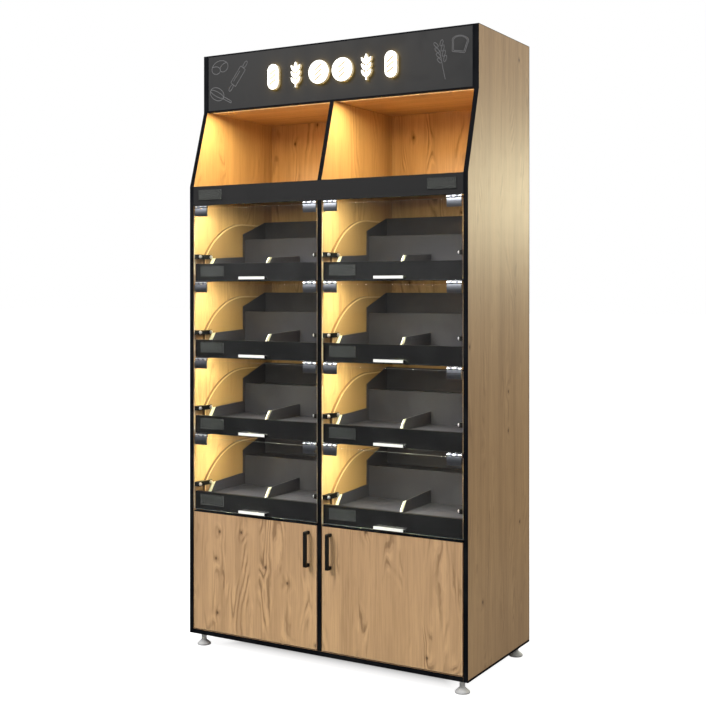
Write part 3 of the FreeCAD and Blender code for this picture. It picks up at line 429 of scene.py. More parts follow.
@dataclass(frozen=True)
class Oak:
    """Oak-finish laminated board."""

    name: str
    grain: Grain
    light: Colour
    dark: Colour
    knots: float
    curl: float = 1.0
    streaks: float = 0.3
    roughness: float = 0.42
    pore_depth: float = 0.00012
    pore_roughness: float = 0.2
    relief: float = 0.5
    specular: float = 0.4

    def build(self) -> Material:
        """Make the material.

        Returns:
            The material.
        """
        material, canvas, output = new_material(self.name)
        turn = Matrix(self.grain.value).to_euler("XYZ")
        turned = canvas.add("ShaderNodeMapping", {"Vector": canvas.place(),
                                                  "Rotation": tuple(turn)})
        oak = canvas.add("ShaderNodeGroup", {
            "Vector": turned.outputs[0], "Light": self.light, "Dark": self.dark,
            "Knots": self.knots, "Curl": self.curl, "Streaks": self.streaks},
            node_tree=OAK_FIGURE)
        rough = canvas.maths("MULTIPLY_ADD", oak.outputs["Pores"], self.pore_roughness,
                             self.roughness)
        normal = canvas.bump(self.relief, self.pore_depth, oak.outputs["Height"])
        shader = canvas.add("ShaderNodeBsdfPrincipled", {
            "Base Color": oak.outputs["Color"], "Roughness": rough, "Normal": normal,
            "Specular IOR Level": self.specular})
        canvas.tree.links.new(shader.outputs[0], output.inputs[0])
        return material


@dataclass(frozen=True)
class Skin:
    """A matt or satin surface with a fine skin, such as laminate, lacquer, plastic or powder."""

    name: str
    colour: Colour
    roughness: float
    scale: float = 900
    depth: float = 0.00008
    smudge: float = 0.12
    coat: float = 0.0
    coat_roughness: float = 0.12
    specular: float = 0.3
    relief: float = 0.4
    wear_gain: float = 1.12
    wear_lift: float = 0.004
    halo_colour: Colour | None = None

    def build(self) -> Material:
        """Make the material.

        Returns:
            The material.
        """
        material, canvas, output = new_material(self.name)
        skin = canvas.add("ShaderNodeGroup", {"Vector": canvas.place(), "Scale": self.scale},
                          node_tree=FINE_SKIN)
        worn = tuple(min(1, part * self.wear_gain + self.wear_lift) for part in self.colour)
        colour = canvas.mix(skin.outputs["Smudges"], self.colour, worn)
        rough = canvas.maths("MULTIPLY_ADD", skin.outputs["Smudges"], self.smudge, self.roughness)
        shader = canvas.add("ShaderNodeBsdfPrincipled", {
            "Base Color": colour, "Roughness": rough,
            "Normal": canvas.bump(self.relief, self.depth, skin.outputs["Height"]),
            "Coat Weight": self.coat, "Coat Roughness": self.coat_roughness,
            "Specular IOR Level": self.specular})
        # Painted glow: the motifs' light on the fascia, as emission by the halo attribute.
        if self.halo_colour is not None:
            halo = canvas.add("ShaderNodeAttribute", attribute_name=Halo.ATTRIBUTE)
            glow = canvas.mix(halo.outputs["Fac"], (0.0, 0.0, 0.0), self.halo_colour)
            canvas.tree.links.new(glow, shader.inputs["Emission Color"])
            shader.inputs["Emission Strength"].default_value = 1
        canvas.tree.links.new(shader.outputs[0], output.inputs[0])
        return material


@dataclass(frozen=True)
class Metal:
    """A bare or plated metal surface with brushing lines."""

    name: str
    colour: Colour
    roughness: float
    spread: float = 0.1
    brushing: Brushing = Brushing.ALONG_X
    dulling: float = 0.86
    line_depth: float = 0.00002
    relief: float = 0.3

    def build(self) -> Material:
        """Make the material.

        Returns:
            The material.
        """
        material, canvas, output = new_material(self.name)
        turned = canvas.add("ShaderNodeMapping", {"Vector": canvas.place(),
                                                  "Rotation": self.brushing.value})
        brushed = canvas.add("ShaderNodeGroup", {"Vector": turned.outputs[0]},
                             node_tree=BRUSHED_LINES)
        lines = brushed.outputs["Lines"]
        dull = tuple(part * self.dulling for part in self.colour)
        shader = canvas.add("ShaderNodeBsdfPrincipled", {
            "Base Color": canvas.mix(lines, self.colour, dull),
            "Roughness": canvas.maths("MULTIPLY_ADD", lines, self.spread, self.roughness),
            "Metallic": 1.0, "Normal": canvas.bump(self.relief, self.line_depth, lines)})
        canvas.tree.links.new(shader.outputs[0], output.inputs[0])
        return material


@dataclass(frozen=True)
class Clear:
    """Clear sheet that lets lamp light straight through."""

    name: str
    tint: Colour
    roughness: float
    smudge: float
    haze: float = 0.0
    refraction: float = 1.49

    def build(self) -> Material:
        """Make the material.

        Returns:
            The material.
        """
        material, canvas, output = new_material(self.name)
        skin = canvas.add("ShaderNodeGroup", {"Vector": canvas.place()}, node_tree=FINE_SKIN)
        rough = canvas.maths("MULTIPLY_ADD", skin.outputs["Smudges"], self.smudge, self.roughness)
        shader = canvas.add("ShaderNodeBsdfPrincipled", {
            "Base Color": self.tint, "Roughness": rough, "IOR": self.refraction,
            "Transmission Weight": 1.0})
        through = canvas.add("ShaderNodeBsdfTransparent")
        path = canvas.add("ShaderNodeLightPath")
        mixed = canvas.add("ShaderNodeMixShader", {0: path.outputs["Is Shadow Ray"],
                                                   1: shader.outputs[0], 2: through.outputs[0]})
        if self.haze:
            matt = canvas.add("ShaderNodeBsdfDiffuse", {"Color": self.tint})
            mixed = canvas.add("ShaderNodeMixShader", {0: self.haze, 1: mixed.outputs[0],
                                                       2: matt.outputs[0]})
        canvas.tree.links.new(mixed.outputs[0], output.inputs[0])
        return material


@dataclass(frozen=True)
class Lit:
    """A lit surface, with the soft spots of the diodes behind it."""

    name: str
    colour: Colour
    strength: float
    spot_pitch: float
    spot_depth: float
    base: Colour = (0.8, 0.78, 0.72)
    roughness: float = 0.4

    def build(self) -> Material:
        """Make the material.

        Returns:
            The material.
        """
        material, canvas, output = new_material(self.name)
        across = canvas.add("ShaderNodeSeparateXYZ", {0: canvas.place()}).outputs[0]
        wave = canvas.maths("COSINE", canvas.maths("MULTIPLY", across, math.tau / self.spot_pitch))
        dim = tuple(part * (1 - self.spot_depth) for part in self.colour)
        glow = canvas.mix(canvas.span(wave, -1, 1), dim, self.colour)
        shader = canvas.add("ShaderNodeBsdfPrincipled", {
            "Base Color": self.base, "Roughness": self.roughness, "Emission Color": glow,
            "Emission Strength": self.strength})
        canvas.tree.links.new(shader.outputs[0], output.inputs[0])
        return material


OAK_LIGHT = (0.48, 0.308, 0.165)
OAK_DARK = (0.2, 0.11, 0.056)
# Painted highlight: a lighter oak for edges that catch the light, on the doors' fronts and along
# the cheeks.
OAK_EDGE_HIGHLIGHT = (0.56, 0.4, 0.26)
# Painted shade: the cheeks' oak is darker than the walls' for the shade that falls on them.
CHEEK_PAINTED_SHADE = (0.26, 0.165, 0.085)
DOOR_LIGHT = (0.53, 0.335, 0.185)
DOOR_DARK = (0.2, 0.112, 0.055)


class Finishes:
    """Every finish of the unit, each built once."""

    def __init__(self) -> None:
        """Build the materials."""
        self.build_boards()
        self.build_sheets()
        self.build_metals()
        self.build_small_parts()

    def build_boards(self) -> None:
        """Build the oak finishes, the hardboard and the dark laminates."""
        self.oak_front = Oak("oak_front", Grain.FRONT, DOOR_LIGHT, DOOR_DARK, knots=0.28).build()
        self.oak_side = Oak("oak_side", Grain.SIDE, OAK_LIGHT, OAK_DARK, knots=0.08, curl=0.5,
                            streaks=0.4).build()
        # Painted shade on the cheek oak, and a painted shadow on the cheeks' dark narrow edges.
        self.oak_cheek_painted_shade = Oak("oak_cheek_painted_shade", Grain.SIDE, CHEEK_PAINTED_SHADE, OAK_DARK, knots=0.0, curl=0.3,
                             streaks=0.4).build()
        self.oak_shelf = Oak("oak_shelf", Grain.SHELF, OAK_LIGHT, OAK_DARK, knots=0.05, curl=0.3,
                             streaks=0.7).build()
        self.oak_edge_highlight = Oak("oak_edge_highlight", Grain.FRONT, OAK_EDGE_HIGHLIGHT, OAK_LIGHT, knots=0.0, curl=0.0,
                            streaks=0.6, roughness=0.36).build()
        self.cheek_edge_painted_shadow = Oak("cheek_edge_painted_shadow", Grain.FRONT, (0.2, 0.12, 0.06), (0.14, 0.08, 0.04),
                              knots=0.0, curl=0.0, streaks=0.6).build()
        self.hardboard = Skin("hardboard", (0.2, 0.115, 0.055), 0.62, scale=700, depth=0.0002,
                              smudge=0.15).build()
        self.edging = Skin("black_edging", (0.0025, 0.003, 0.0046), 0.6, scale=1300,
                           depth=0.00001, specular=0.03).build()
        self.laminate = Skin("anthracite_laminate", (0.0078, 0.0078, 0.0086), 0.6, scale=750,
                             depth=0.00001, specular=0.2).build()
        self.band = Skin("band_laminate", (0.0045, 0.0045, 0.005), 0.6, scale=750,
                         depth=0.00001, specular=0.12).build()
        self.fascia = Skin("fascia_laminate", (0.018, 0.0182, 0.0195), 0.6, scale=750,
                           depth=0.00002, specular=0.2, halo_colour=(0.17, 0.11, 0.02)).build()

    def build_sheets(self) -> None:
        """Build the finishes of the trays, flaps and ticket pockets."""
        self.sheet = Skin("tray_sheet", (0.027, 0.0265, 0.043), 0.45, scale=1500,
                          depth=0.000006).build()
        # Painted highlight: a pale copy of the tray sheet for the light strips on the walls'
        # sloping front ends.
        self.sheet_painted_highlight = Skin("tray_sheet_edge", (0.8, 0.8, 0.76), 0.3, scale=1500,
                               depth=0.00004).build()
        self.flap = Clear("flap_sheet", (0.97, 0.985, 0.985), roughness=0.0, smudge=0.015).build()
        # Painted highlight: the clear flaps' rims shown pale and opaque, for the light their
        # polished edges gather.
        self.flap_edge_highlight = Skin("flap_rim_painted_highlight", (0.62, 0.68, 0.68), 0.12, scale=1500,
                              depth=0.00001, smudge=0.05, coat=0.6).build()
        self.ticket = Clear("ticket_pocket", (0.6, 0.62, 0.6), roughness=0.03, smudge=0.0,
                            haze=0.028).build()
        self.ticket_edge = Skin("ticket_edge", (0.07, 0.072, 0.07), 0.35, scale=1500,
                                depth=0.00001).build()

    def build_metals(self) -> None:
        """Build the bare, plated and coated metals."""
        self.chrome = Metal("chrome", (0.86, 0.87, 0.9), 0.07).build()
        # Painted reflection: a dark, bluish copy of the chrome for the hinge leaves, for the dark
        # room their fronts mirror.
        self.clamp = Metal("clamp_chrome_painted_reflection", (0.28, 0.297, 0.335), 0.26).build()
        # Partly painted highlight: the dome nuts' chrome is rougher for a broader highlight, and
        # brighter than the chrome as a painted highlight.
        self.dome = Metal("dome_chrome_painted_highlight", (0.95, 0.95, 0.97), 0.34).build()
        self.nickel = Metal("nickel", (0.62, 0.6, 0.57), 0.2, 0.16, Brushing.ALONG_Y).build()
        self.aluminium = Metal("aluminium", (0.7, 0.7, 0.72), 0.28, 0.15).build()
        self.powder = Skin("black_powder", (0.003, 0.003, 0.0035), 0.4, scale=1900,
                           depth=0.00004, specular=0.12).build()
        self.lacquer = Skin("white_lacquer", (0.93, 0.93, 0.92), 0.2, scale=1500,
                            depth=0.00001, smudge=0.06, coat=0.5).build()

    def build_small_parts(self) -> None:
        """Build the plastics, the chalk and the lit surfaces."""
        self.housing = Skin("driver_housing", (0.72, 0.72, 0.7), 0.45, scale=1100).build()
        self.socket = Skin("inlet_plastic", (0.02, 0.02, 0.021), 0.42, scale=1200,
                           depth=0.00006).build()
        self.foot = Skin("foot_plastic", (0.52, 0.525, 0.535), 0.4, scale=1000,
                         depth=0.00004).build()
        self.chalk = Skin("chalk_line", (0.1, 0.1, 0.105), 0.8, scale=2600, depth=0.0001,
                          smudge=0.1).build()
        self.bar_light = Lit("bar_diffuser", (1.0, 0.66, 0.32), strength=0.35, spot_pitch=1 / 60,
                             spot_depth=0.25).build()
        self.motif_face = Lit("motif_face", (1.0, 0.97, 0.88), strength=1.6, spot_pitch=0.012,
                              spot_depth=0.04).build()
        self.motif_side = Lit("motif_side", (0.75, 0.52, 0.15), strength=0.3, spot_pitch=0.012,
                              spot_depth=0.1).build()


def tidy_copy(node: str, choose: Chooser | None = None) -> BMesh:
    """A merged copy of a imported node's mesh, with one face for each flat side.

    Args:
        node: The node's name.
        choose: Gives a face's material by its number.

    Returns:
        A working mesh.
    """
    work = bmesh.new()
    work.from_mesh(frame["nodes"][node].data)
    bmesh.ops.remove_doubles(work, verts=work.verts, dist=MERGE_DISTANCE)
    bmesh.ops.dissolve_limit(work, angle_limit=FLAT_ANGLE, verts=work.verts, edges=work.edges)
    if choose is not None:
        for face in work.faces:
            face.material_index = choose(face)
    return work


def solid_boxes(node: str) -> list[tuple[Vector, Vector]]:
    """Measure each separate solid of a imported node.

    Args:
        node: The node's name.

    Returns:
        The low and the high corner of each solid.
    """
    work = tidy_copy(node)
    left = dict.fromkeys(work.verts)
    boxes = []
    while left:
        queue = [left.popitem()[0]]
        solid = []
        while queue:
            vert = queue.pop()
            solid.append(vert.co.copy())
            for edge in vert.link_edges:
                other = edge.other_vert(vert)
                if other in left:
                    del left[other]
                    queue.append(other)
        boxes.append((Vector(map(min, *solid)), Vector(map(max, *solid))))
    work.free()
    return boxes


def show_mesh(name: str, mesh: Mesh, finishes: Sequence[Material], body: str,
              radius: float = 0.0, segments: int = 2) -> Object:
    """Link a mesh as a piece that rides on a body.

    Args:
        name: The piece's name.
        mesh: The mesh.
        finishes: Materials by the faces' numbers, for a mesh that has none yet.
        body: The body that it rides on.
        radius: Rounding of its edges, or zero for none.
        segments: Steps of the rounding.

    Returns:
        The new piece.
    """
    mesh.name = name
    if not mesh.materials:
        for finish in finishes:
            mesh.materials.append(finish)
    mesh.shade_smooth()
    piece = bpy.data.objects.new(name, mesh)
    bpy.context.scene.collection.objects.link(piece)
    if radius:
        rounding = piece.modifiers.new("rounded_edges", "BEVEL")
        rounding.width = radius
        rounding.segments = segments
        rounding.limit_method = "ANGLE"
        rounding.angle_limit = SHARP_ANGLE
        rounding.harden_normals = True
    else:
        mesh.set_sharp_from_angle(angle=SHARP_ANGLE)
    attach(piece, body)
    LOG.info("%s rides on %s", name, body)
    return piece


def finish_piece(node: str, work: BMesh, finishes: Sequence[Material],
                 radius: float = 0.0, segments: int = 2) -> Object:
    """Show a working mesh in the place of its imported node, on the node's own body.

    Args:
        node: The node's name.
        work: The mesh, which is freed.
        finishes: Materials by the faces' numbers.
        radius: Rounding of its edges, or zero for none.
        segments: Steps of the rounding.

    Returns:
        The new piece.
    """
    mesh = bpy.data.meshes.new(node)
    work.to_mesh(mesh)
    work.free()
    if mesh.has_custom_normals:
        mesh.attributes.remove(mesh.attributes["custom_normal"])
    body = frame["nodes"][node]["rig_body"]
    piece = show_mesh(node + "_finished", mesh, finishes, body, radius, segments)
    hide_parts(node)
    return piece


def dress(node: str, finishes: Sequence[Material], choose: Chooser | None = None,
          radius: float = 0.0, segments: int = 2) -> None:
    """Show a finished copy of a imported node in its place.

    Args:
        node: The node's name.
        finishes: Materials that choose picks from.
        choose: Gives a face's material by its number.
        radius: Rounding of its edges, or zero for none.
        segments: Steps of the rounding.
    """
    finish_piece(node, tidy_copy(node, choose), finishes, radius, segments)


def cut_all(work: BMesh, point: Vector, normal: Vector) -> None:
    """Cut every face of a working mesh along a plane."""
    parts = [*work.verts, *work.edges, *work.faces]
    bmesh.ops.bisect_plane(work, geom=parts, plane_co=point, plane_no=normal)


def mark_beyond(work: BMesh, point: Vector, outward: Vector, index: int,
                choose: Chooser | None = None) -> None:
    """Cut faces along a plane, and give what lies beyond it a material.

    Args:
        work: The mesh.
        point: A point of the plane.
        outward: The plane's normal, towards the faces that are marked.
        index: Their material's number.
        choose: Gives zero for a face that is left as it is.
    """
    faces = [face for face in work.faces if choose is None or choose(face)]
    edges = dict.fromkeys(edge for face in faces for edge in face.edges)
    verts = dict.fromkeys(vert for face in faces for vert in face.verts)
    bmesh.ops.bisect_plane(work, geom=[*verts, *edges, *faces], plane_co=point, plane_no=outward)
    for face in work.faces:
        beyond = (face.calc_center_median() - point).dot(outward) > 0
        if beyond and (choose is None or choose(face)):
            face.material_index = index


def mark_ring(work: BMesh, faces: Sequence[BMFace], width: float, index: int,
              even: bool = False) -> None:
    """Give faces a border of a material along their outline.

    Args:
        work: The mesh.
        faces: The faces, which shrink by the border.
        width: The border's width.
        index: Its material's number.
        even: Whether the width is kept at slanting corners.
    """
    ring = bmesh.ops.inset_region(work, faces=faces, thickness=width, use_even_offset=even)
    for face in ring["faces"]:
        face.material_index = index


def faces_front(face: BMFace) -> int:
    """1 for a face that looks to the front, sloping ones too."""
    return int(face.normal.y < -LEANING)


def faces_rear(face: BMFace) -> int:
    """1 for a face that looks to the rear."""
    return int(face.normal.y > LEANING)


def is_rim(face: BMFace) -> int:
    """1 for a narrow side of an upright sheet that lies across the unit."""
    return int(abs(face.normal.y) < HALF_TURNED)


def points_mesh(name: str, points: Sequence[Vector],
                edges: Sequence[tuple[int, int]] = ()) -> Mesh:
    """Make a mesh of loose points, or of lines between them.

    Args:
        name: The mesh's name.
        points: Its points.
        edges: Pairs of the points' numbers.

    Returns:
        The mesh.
    """
    mesh = bpy.data.meshes.new(name)
    mesh.from_pydata([tuple(point) for point in points], list(edges), [])
    return mesh


def grow(tree: NodeTree, seed: Mesh, values: dict[str, object]) -> Mesh:
    """Run a geometry tree on a mesh.

    Args:
        tree: The tree.
        seed: What its Geometry input gets.
        values: Its other inputs by name.

    Returns:
        The result as a plain mesh.
    """
    holder = bpy.data.objects.new(seed.name, seed)
    bpy.context.scene.collection.objects.link(holder)
    modifier = holder.modifiers.new("grow", "NODES")
    modifier.node_group = tree
    for item in tree.interface.items_tree:
        if item.item_type == "SOCKET" and item.in_out == "INPUT" and item.name in values:
            modifier[item.identifier] = values[item.name]
    graph = bpy.context.evaluated_depsgraph_get()
    mesh = bpy.data.meshes.new_from_object(holder.evaluated_get(graph))
    bpy.data.objects.remove(holder)
    return mesh


def finish_tree(canvas: Canvas, geometry: NodeSocket, source: Node, result: Node) -> NodeTree:
    """End a geometry tree: real geometry in the material of its Finish input.

    Args:
        canvas: The tree's canvas.
        geometry: What the tree has made.
        source: Its input node.
        result: Its output node.

    Returns:
        The finished tree.
    """
    real = canvas.add("GeometryNodeRealizeInstances", {0: geometry})
    dressed = canvas.add("GeometryNodeSetMaterial", {"Geometry": real.outputs[0],
                                                     "Material": source.outputs["Finish"]})
    return canvas.close(result, {"Geometry": dressed.outputs[0]})


def screw_tree() -> NodeTree:
    """Domed screw heads with a cross recess, one at each point of the seed.

    Returns:
        The geometry tree.
    """
    canvas, source, result = new_group(
        "screw_heads", "GeometryNodeTree",
        [("Geometry", "NodeSocketGeometry", None), ("Facing", "NodeSocketVector", (0, 1, 0)),
         ("Head Radius", "NodeSocketFloat", 0.004), ("Head Height", "NodeSocketFloat", 0.002),
         ("Seed", "NodeSocketInt", 3), ("Finish", "NodeSocketMaterial", None)],
        [("Geometry", "NodeSocketGeometry")])
    radius = source.outputs["Head Radius"]
    height = source.outputs["Head Height"]
    crown_radius = canvas.maths("MULTIPLY", radius, 0.62)
    slot_width = canvas.maths("MULTIPLY", radius, 0.2)
    slot_lift = canvas.maths("MULTIPLY", height, 0.9)
    head = canvas.add("GeometryNodeMeshCone", {
        "Vertices": 24, "Radius Top": crown_radius, "Radius Bottom": radius, "Depth": height})
    lift = canvas.add("ShaderNodeCombineXYZ", {2: slot_lift})
    cut = head.outputs[0]
    for long_axis, short_axis in ((0, 1), (1, 0)):
        size = canvas.add("ShaderNodeCombineXYZ", {long_axis: radius, short_axis: slot_width,
                                                   2: height})
        bar = canvas.add("GeometryNodeMeshCube", {"Size": size.outputs[0]})
        raised = canvas.add("GeometryNodeTransform", {"Geometry": bar.outputs[0],
                                                      "Translation": lift.outputs[0]})
        taken = canvas.add("GeometryNodeMeshBoolean", {"Mesh 1": cut, "Mesh 2": raised.outputs[0]},
                           operation="DIFFERENCE")
        cut = taken.outputs[0]
    points = canvas.add("GeometryNodeMeshToPoints", {"Mesh": source.outputs["Geometry"]})
    facing = canvas.add("FunctionNodeAlignRotationToVector", {"Vector": source.outputs["Facing"]},
                        axis="Z")
    placed = canvas.add("GeometryNodeInstanceOnPoints", {
        "Points": points.outputs[0], "Instance": cut, "Rotation": facing.outputs[0]})
    chance = canvas.add("FunctionNodeRandomValue", {3: math.tau, "Seed": source.outputs["Seed"]},
                        data_type="FLOAT")
    turn = canvas.add("ShaderNodeCombineXYZ", {2: chance.outputs[1]})
    turned = canvas.add("GeometryNodeRotateInstances", {"Instances": placed.outputs[0],
                                                        "Rotation": turn.outputs[0]})
    return finish_tree(canvas, turned.outputs[0], source, result)


def rib_tree() -> NodeTree:
    """Rings of small upright ribs, one ring round each point of the seed.

    Returns:
        The geometry tree.
    """
    canvas, source, result = new_group(
        "rib_rings", "GeometryNodeTree",
        [("Geometry", "NodeSocketGeometry", None), ("Ribs", "NodeSocketInt", 36),
         ("Ring Radius", "NodeSocketFloat", 0.025), ("Rib Size", "NodeSocketVector", (1, 1, 1)),
         ("Finish", "NodeSocketMaterial", None)],
        [("Geometry", "NodeSocketGeometry")])
    ring = canvas.add("GeometryNodeMeshCircle", {"Vertices": source.outputs["Ribs"],
                                                 "Radius": source.outputs["Ring Radius"]})
    rib = canvas.add("GeometryNodeMeshCube", {"Size": source.outputs["Rib Size"]})
    outward = canvas.add("FunctionNodeAlignRotationToVector", {
        "Vector": canvas.add("GeometryNodeInputPosition").outputs[0]}, axis="X")
    ribs = canvas.add("GeometryNodeInstanceOnPoints", {
        "Points": ring.outputs[0], "Instance": rib.outputs[0], "Rotation": outward.outputs[0]})
    points = canvas.add("GeometryNodeMeshToPoints", {"Mesh": source.outputs["Geometry"]})
    rings = canvas.add("GeometryNodeInstanceOnPoints", {"Points": points.outputs[0],
                                                        "Instance": ribs.outputs[0]})
    return finish_tree(canvas, rings.outputs[0], source, result)


def stroke_tree() -> NodeTree:
    """Slightly unsteady chalk strokes along the seed's lines, flat against an upright face.

    Returns:
        The geometry tree.
    """
    canvas, source, result = new_group(
        "chalk_strokes", "GeometryNodeTree",
        [("Geometry", "NodeSocketGeometry", None), ("Stroke Radius", "NodeSocketFloat", 0.001),
         ("Step", "NodeSocketFloat", 0.004), ("Wobble", "NodeSocketFloat", 0.001),
         ("Face Y", "NodeSocketFloat", 0.0), ("Flatness", "NodeSocketFloat", 0.2),
         ("Finish", "NodeSocketMaterial", None)],
        [("Geometry", "NodeSocketGeometry")])
    curve = canvas.add("GeometryNodeMeshToCurve", {"Mesh": source.outputs["Geometry"]})
    even = canvas.add("GeometryNodeResampleCurve", {"Curve": curve.outputs[0],
                                                    "Length": source.outputs["Step"]},
                      mode="LENGTH")
    drift = canvas.add("ShaderNodeTexNoise", {"Scale": 90.0, "Detail": 1.0})
    centred = canvas.add("ShaderNodeVectorMath", {0: drift.outputs["Color"], 1: (0.5, 0.5, 0.5)},
                         operation="SUBTRACT")
    offset = canvas.add("ShaderNodeVectorMath", {0: centred.outputs[0]}, operation="SCALE")
    canvas.tree.links.new(source.outputs["Wobble"], offset.inputs["Scale"])
    shaken = canvas.add("GeometryNodeSetPosition", {"Geometry": even.outputs[0],
                                                    "Offset": offset.outputs[0]})
    ring = canvas.add("GeometryNodeCurvePrimitiveCircle", {
        "Resolution": 8, "Radius": source.outputs["Stroke Radius"]})
    tube = canvas.add("GeometryNodeCurveToMesh", {"Curve": shaken.outputs[0],
                                                  "Profile Curve": ring.outputs[0],
                                                  "Fill Caps": True})
    place = canvas.add("ShaderNodeSeparateXYZ", {
        0: canvas.add("GeometryNodeInputPosition").outputs[0]})
    depth = canvas.maths("SUBTRACT", place.outputs[1], source.outputs["Face Y"])
    flat_y = canvas.maths("MULTIPLY_ADD", depth, source.outputs["Flatness"],
                          source.outputs["Face Y"])
    spot = canvas.add("ShaderNodeCombineXYZ", {0: place.outputs[0], 1: flat_y,
                                               2: place.outputs[2]})
    pressed = canvas.add("GeometryNodeSetPosition", {"Geometry": tube.outputs[0],
                                                     "Position": spot.outputs[0]})
    return finish_tree(canvas, pressed.outputs[0], source, result)


SCREW_HEADS = screw_tree()
RIB_RINGS = rib_tree()
CHALK_STROKES = stroke_tree()


@dataclass
class Carcass:
    """Oak boards with black front edges, the back panel and its screws."""

    finishes: Finishes
    edge_radius: float = 0.0007
    bottom_line: float = 0.009
    rear_line: float = 0.005
    top_line: float = 0.002
    screw_radius: float = 0.0042
    screw_height: float = 0.0016
    screw_inset: float = 0.02
    screw_pitch: float = 0.2
    screw_seed: int = 5

    def build(self) -> None:
        """Dress every board of the carcass."""
        oak = self.finishes
        for node in ("side_panel_left", "side_panel_right", "centre_partition"):
            self.build_upright(node)
        for node in ("bottom_panel", "top_panel", "header_soffit", "cupboard_shelves"):
            dress(node, [oak.oak_shelf, oak.edging], faces_front, self.edge_radius)
        dress("shelf_boards", [oak.oak_shelf], None, self.edge_radius)
        dress("back_panel", [oak.oak_front, oak.hardboard], faces_rear)
        self.build_screws()

    def build_upright(self, node: str) -> None:
        """Dress an upright board: black front edge, and black lines on an outer face.

        Args:
            node: The board's node.
        """
        work = tidy_copy(node, faces_front)
        high = Vector(CAD_BOX[1])
        floor_gap = min(vert.co.z for vert in work.verts)
        for point, outward in ((UP * (floor_gap + self.bottom_line), -UP),
                               (UP * (high.z - self.top_line), UP),
                               (REARWARD * (high.y - self.rear_line), REARWARD)):
            mark_beyond(work, point, outward, 1, lambda face: int(
                abs(face.calc_center_median().x) > high.x - MERGE_DISTANCE))
        piece = finish_piece(node, work, [self.finishes.oak_side, self.finishes.edging],
                             self.edge_radius)
        piece.modifiers["rounded_edges"].material = 1

    def build_screws(self) -> None:
        """Put a row of screws round the back panel, and one along its middle."""
        low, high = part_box("back_panel")
        left = low.x + self.screw_inset
        right = high.x - self.screw_inset
        base = low.z + self.screw_inset
        crest = high.z - self.screw_inset
        count = round((crest - base) / self.screw_pitch)
        heights = [base + (crest - base) * step / count for step in range(count + 1)]
        spots = [(x, z) for z in heights for x in (left, 0.0, right)]
        across = round((right - left) / self.screw_pitch)
        for step in range(1, across):
            x = left + (right - left) * step / across
            if abs(x) > self.screw_inset:
                spots.extend([(x, base), (x, crest)])
        middle_y = high.y + self.screw_height / 2
        seed = points_mesh("back_screws", [Vector((x, middle_y, z)) for x, z in spots])
        mesh = grow(SCREW_HEADS, seed, {
            "Facing": tuple(REARWARD), "Head Radius": self.screw_radius,
            "Head Height": self.screw_height, "Seed": self.screw_seed,
            "Finish": self.finishes.nickel})
        show_mesh("back_panel_screws", mesh, [], "cabinet")


@dataclass
class Halo:
    """The glow that the lit motifs throw on the fascia, kept as an attribute of its points."""

    finishes: Finishes
    cell: float = 0.0035
    margin: float = 0.06
    near_reach: float = 0.0045
    far_reach: float = 0.03
    far_share: float = 0.14
    border: float = 0.009
    edge_radius: float = 0.0007

    ATTRIBUTE = "halo"

    def build(self) -> None:
        """Dress the fascia with a fine grid round the motifs and write the glow on it."""
        work = tidy_copy("header_fascia")
        face = min(work.faces, key=lambda side: side.calc_center_median().y)
        mark_ring(work, [face], self.border, 1)
        low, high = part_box("header_lit_motifs")
        for axis, normal in ((0, ACROSS), (2, UP)):
            start = low[axis] - self.margin
            count = math.ceil((high[axis] + self.margin - start) / self.cell)
            for step in range(count + 1):
                cut_all(work, normal * (start + step * self.cell), normal)
        motifs = tidy_copy("header_lit_motifs")
        bmesh.ops.triangulate(motifs, faces=motifs.faces)
        tree = BVHTree.FromBMesh(motifs)
        layer = work.verts.layers.float.new(self.ATTRIBUTE)
        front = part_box("header_fascia")[0].y
        for vert in work.verts:
            if vert.co.y < front + self.edge_radius:
                vert[layer] = self.glow(tree.find_nearest(vert.co)[3])
        motifs.free()
        piece = finish_piece("header_fascia", work, [self.finishes.fascia, self.finishes.edging],
                             self.edge_radius)
        piece.modifiers["rounded_edges"].material = 1

    def glow(self, distance: float) -> float:
        """How strongly a point glows.

        Args:
            distance: How far it is from the nearest motif.

        Returns:
            The glow, from 0 to 1.
        """
        near = math.exp(-distance / self.near_reach)
        far = math.exp(-distance / self.far_reach)
        return near * (1 - self.far_share) + far * self.far_share


@dataclass
class ChalkDrawing:
    """One small line drawing on the fascia, in its own units about its middle."""

    lines: list[Line]
    centre: Flat
    height: float
    lean: float

    def placed(self, y: float) -> tuple[list[Vector], list[tuple[int, int]]]:
        """Put the drawing on the fascia.

        Args:
            y: The fascia's face.

        Returns:
            The drawing's points, and pairs of their numbers for the lines between them.
        """
        points: list[Vector] = []
        edges: list[tuple[int, int]] = []
        turn = Matrix.Rotation(math.radians(self.lean), 2)
        for line in self.lines:
            for number, spot in enumerate(line):
                flat = turn @ (Vector(spot) * self.height)
                if number:
                    edges.append((len(points) - 1, len(points)))
                points.append(Vector((self.centre[0] + flat.x, y, self.centre[1] + flat.y)))
        return points, edges


def ellipse(x: float, z: float, width: float, height: float, start: float = 0,
            end: float = 360, steps: int = 28) -> Line:
    """Points along an ellipse about x, z, from one angle in degrees to another."""
    angles = [math.radians(start + (end - start) * step / steps) for step in range(steps + 1)]
    return [(x + width / 2 * math.cos(a), z + height / 2 * math.sin(a)) for a in angles]


def rolling_pin() -> list[Line]:
    """A rolling pin with its two grips, upright.

    Returns:
        Its lines.
    """
    barrel = [(-0.1, -0.28), (0.1, -0.28), (0.1, 0.28), (-0.1, 0.28), (-0.1, -0.28)]
    grips = [ellipse(0, side * 0.39, 0.09, 0.22) for side in (-1, 1)]
    return [barrel, *grips, [(-0.04, -0.2), (-0.04, 0.15)]]


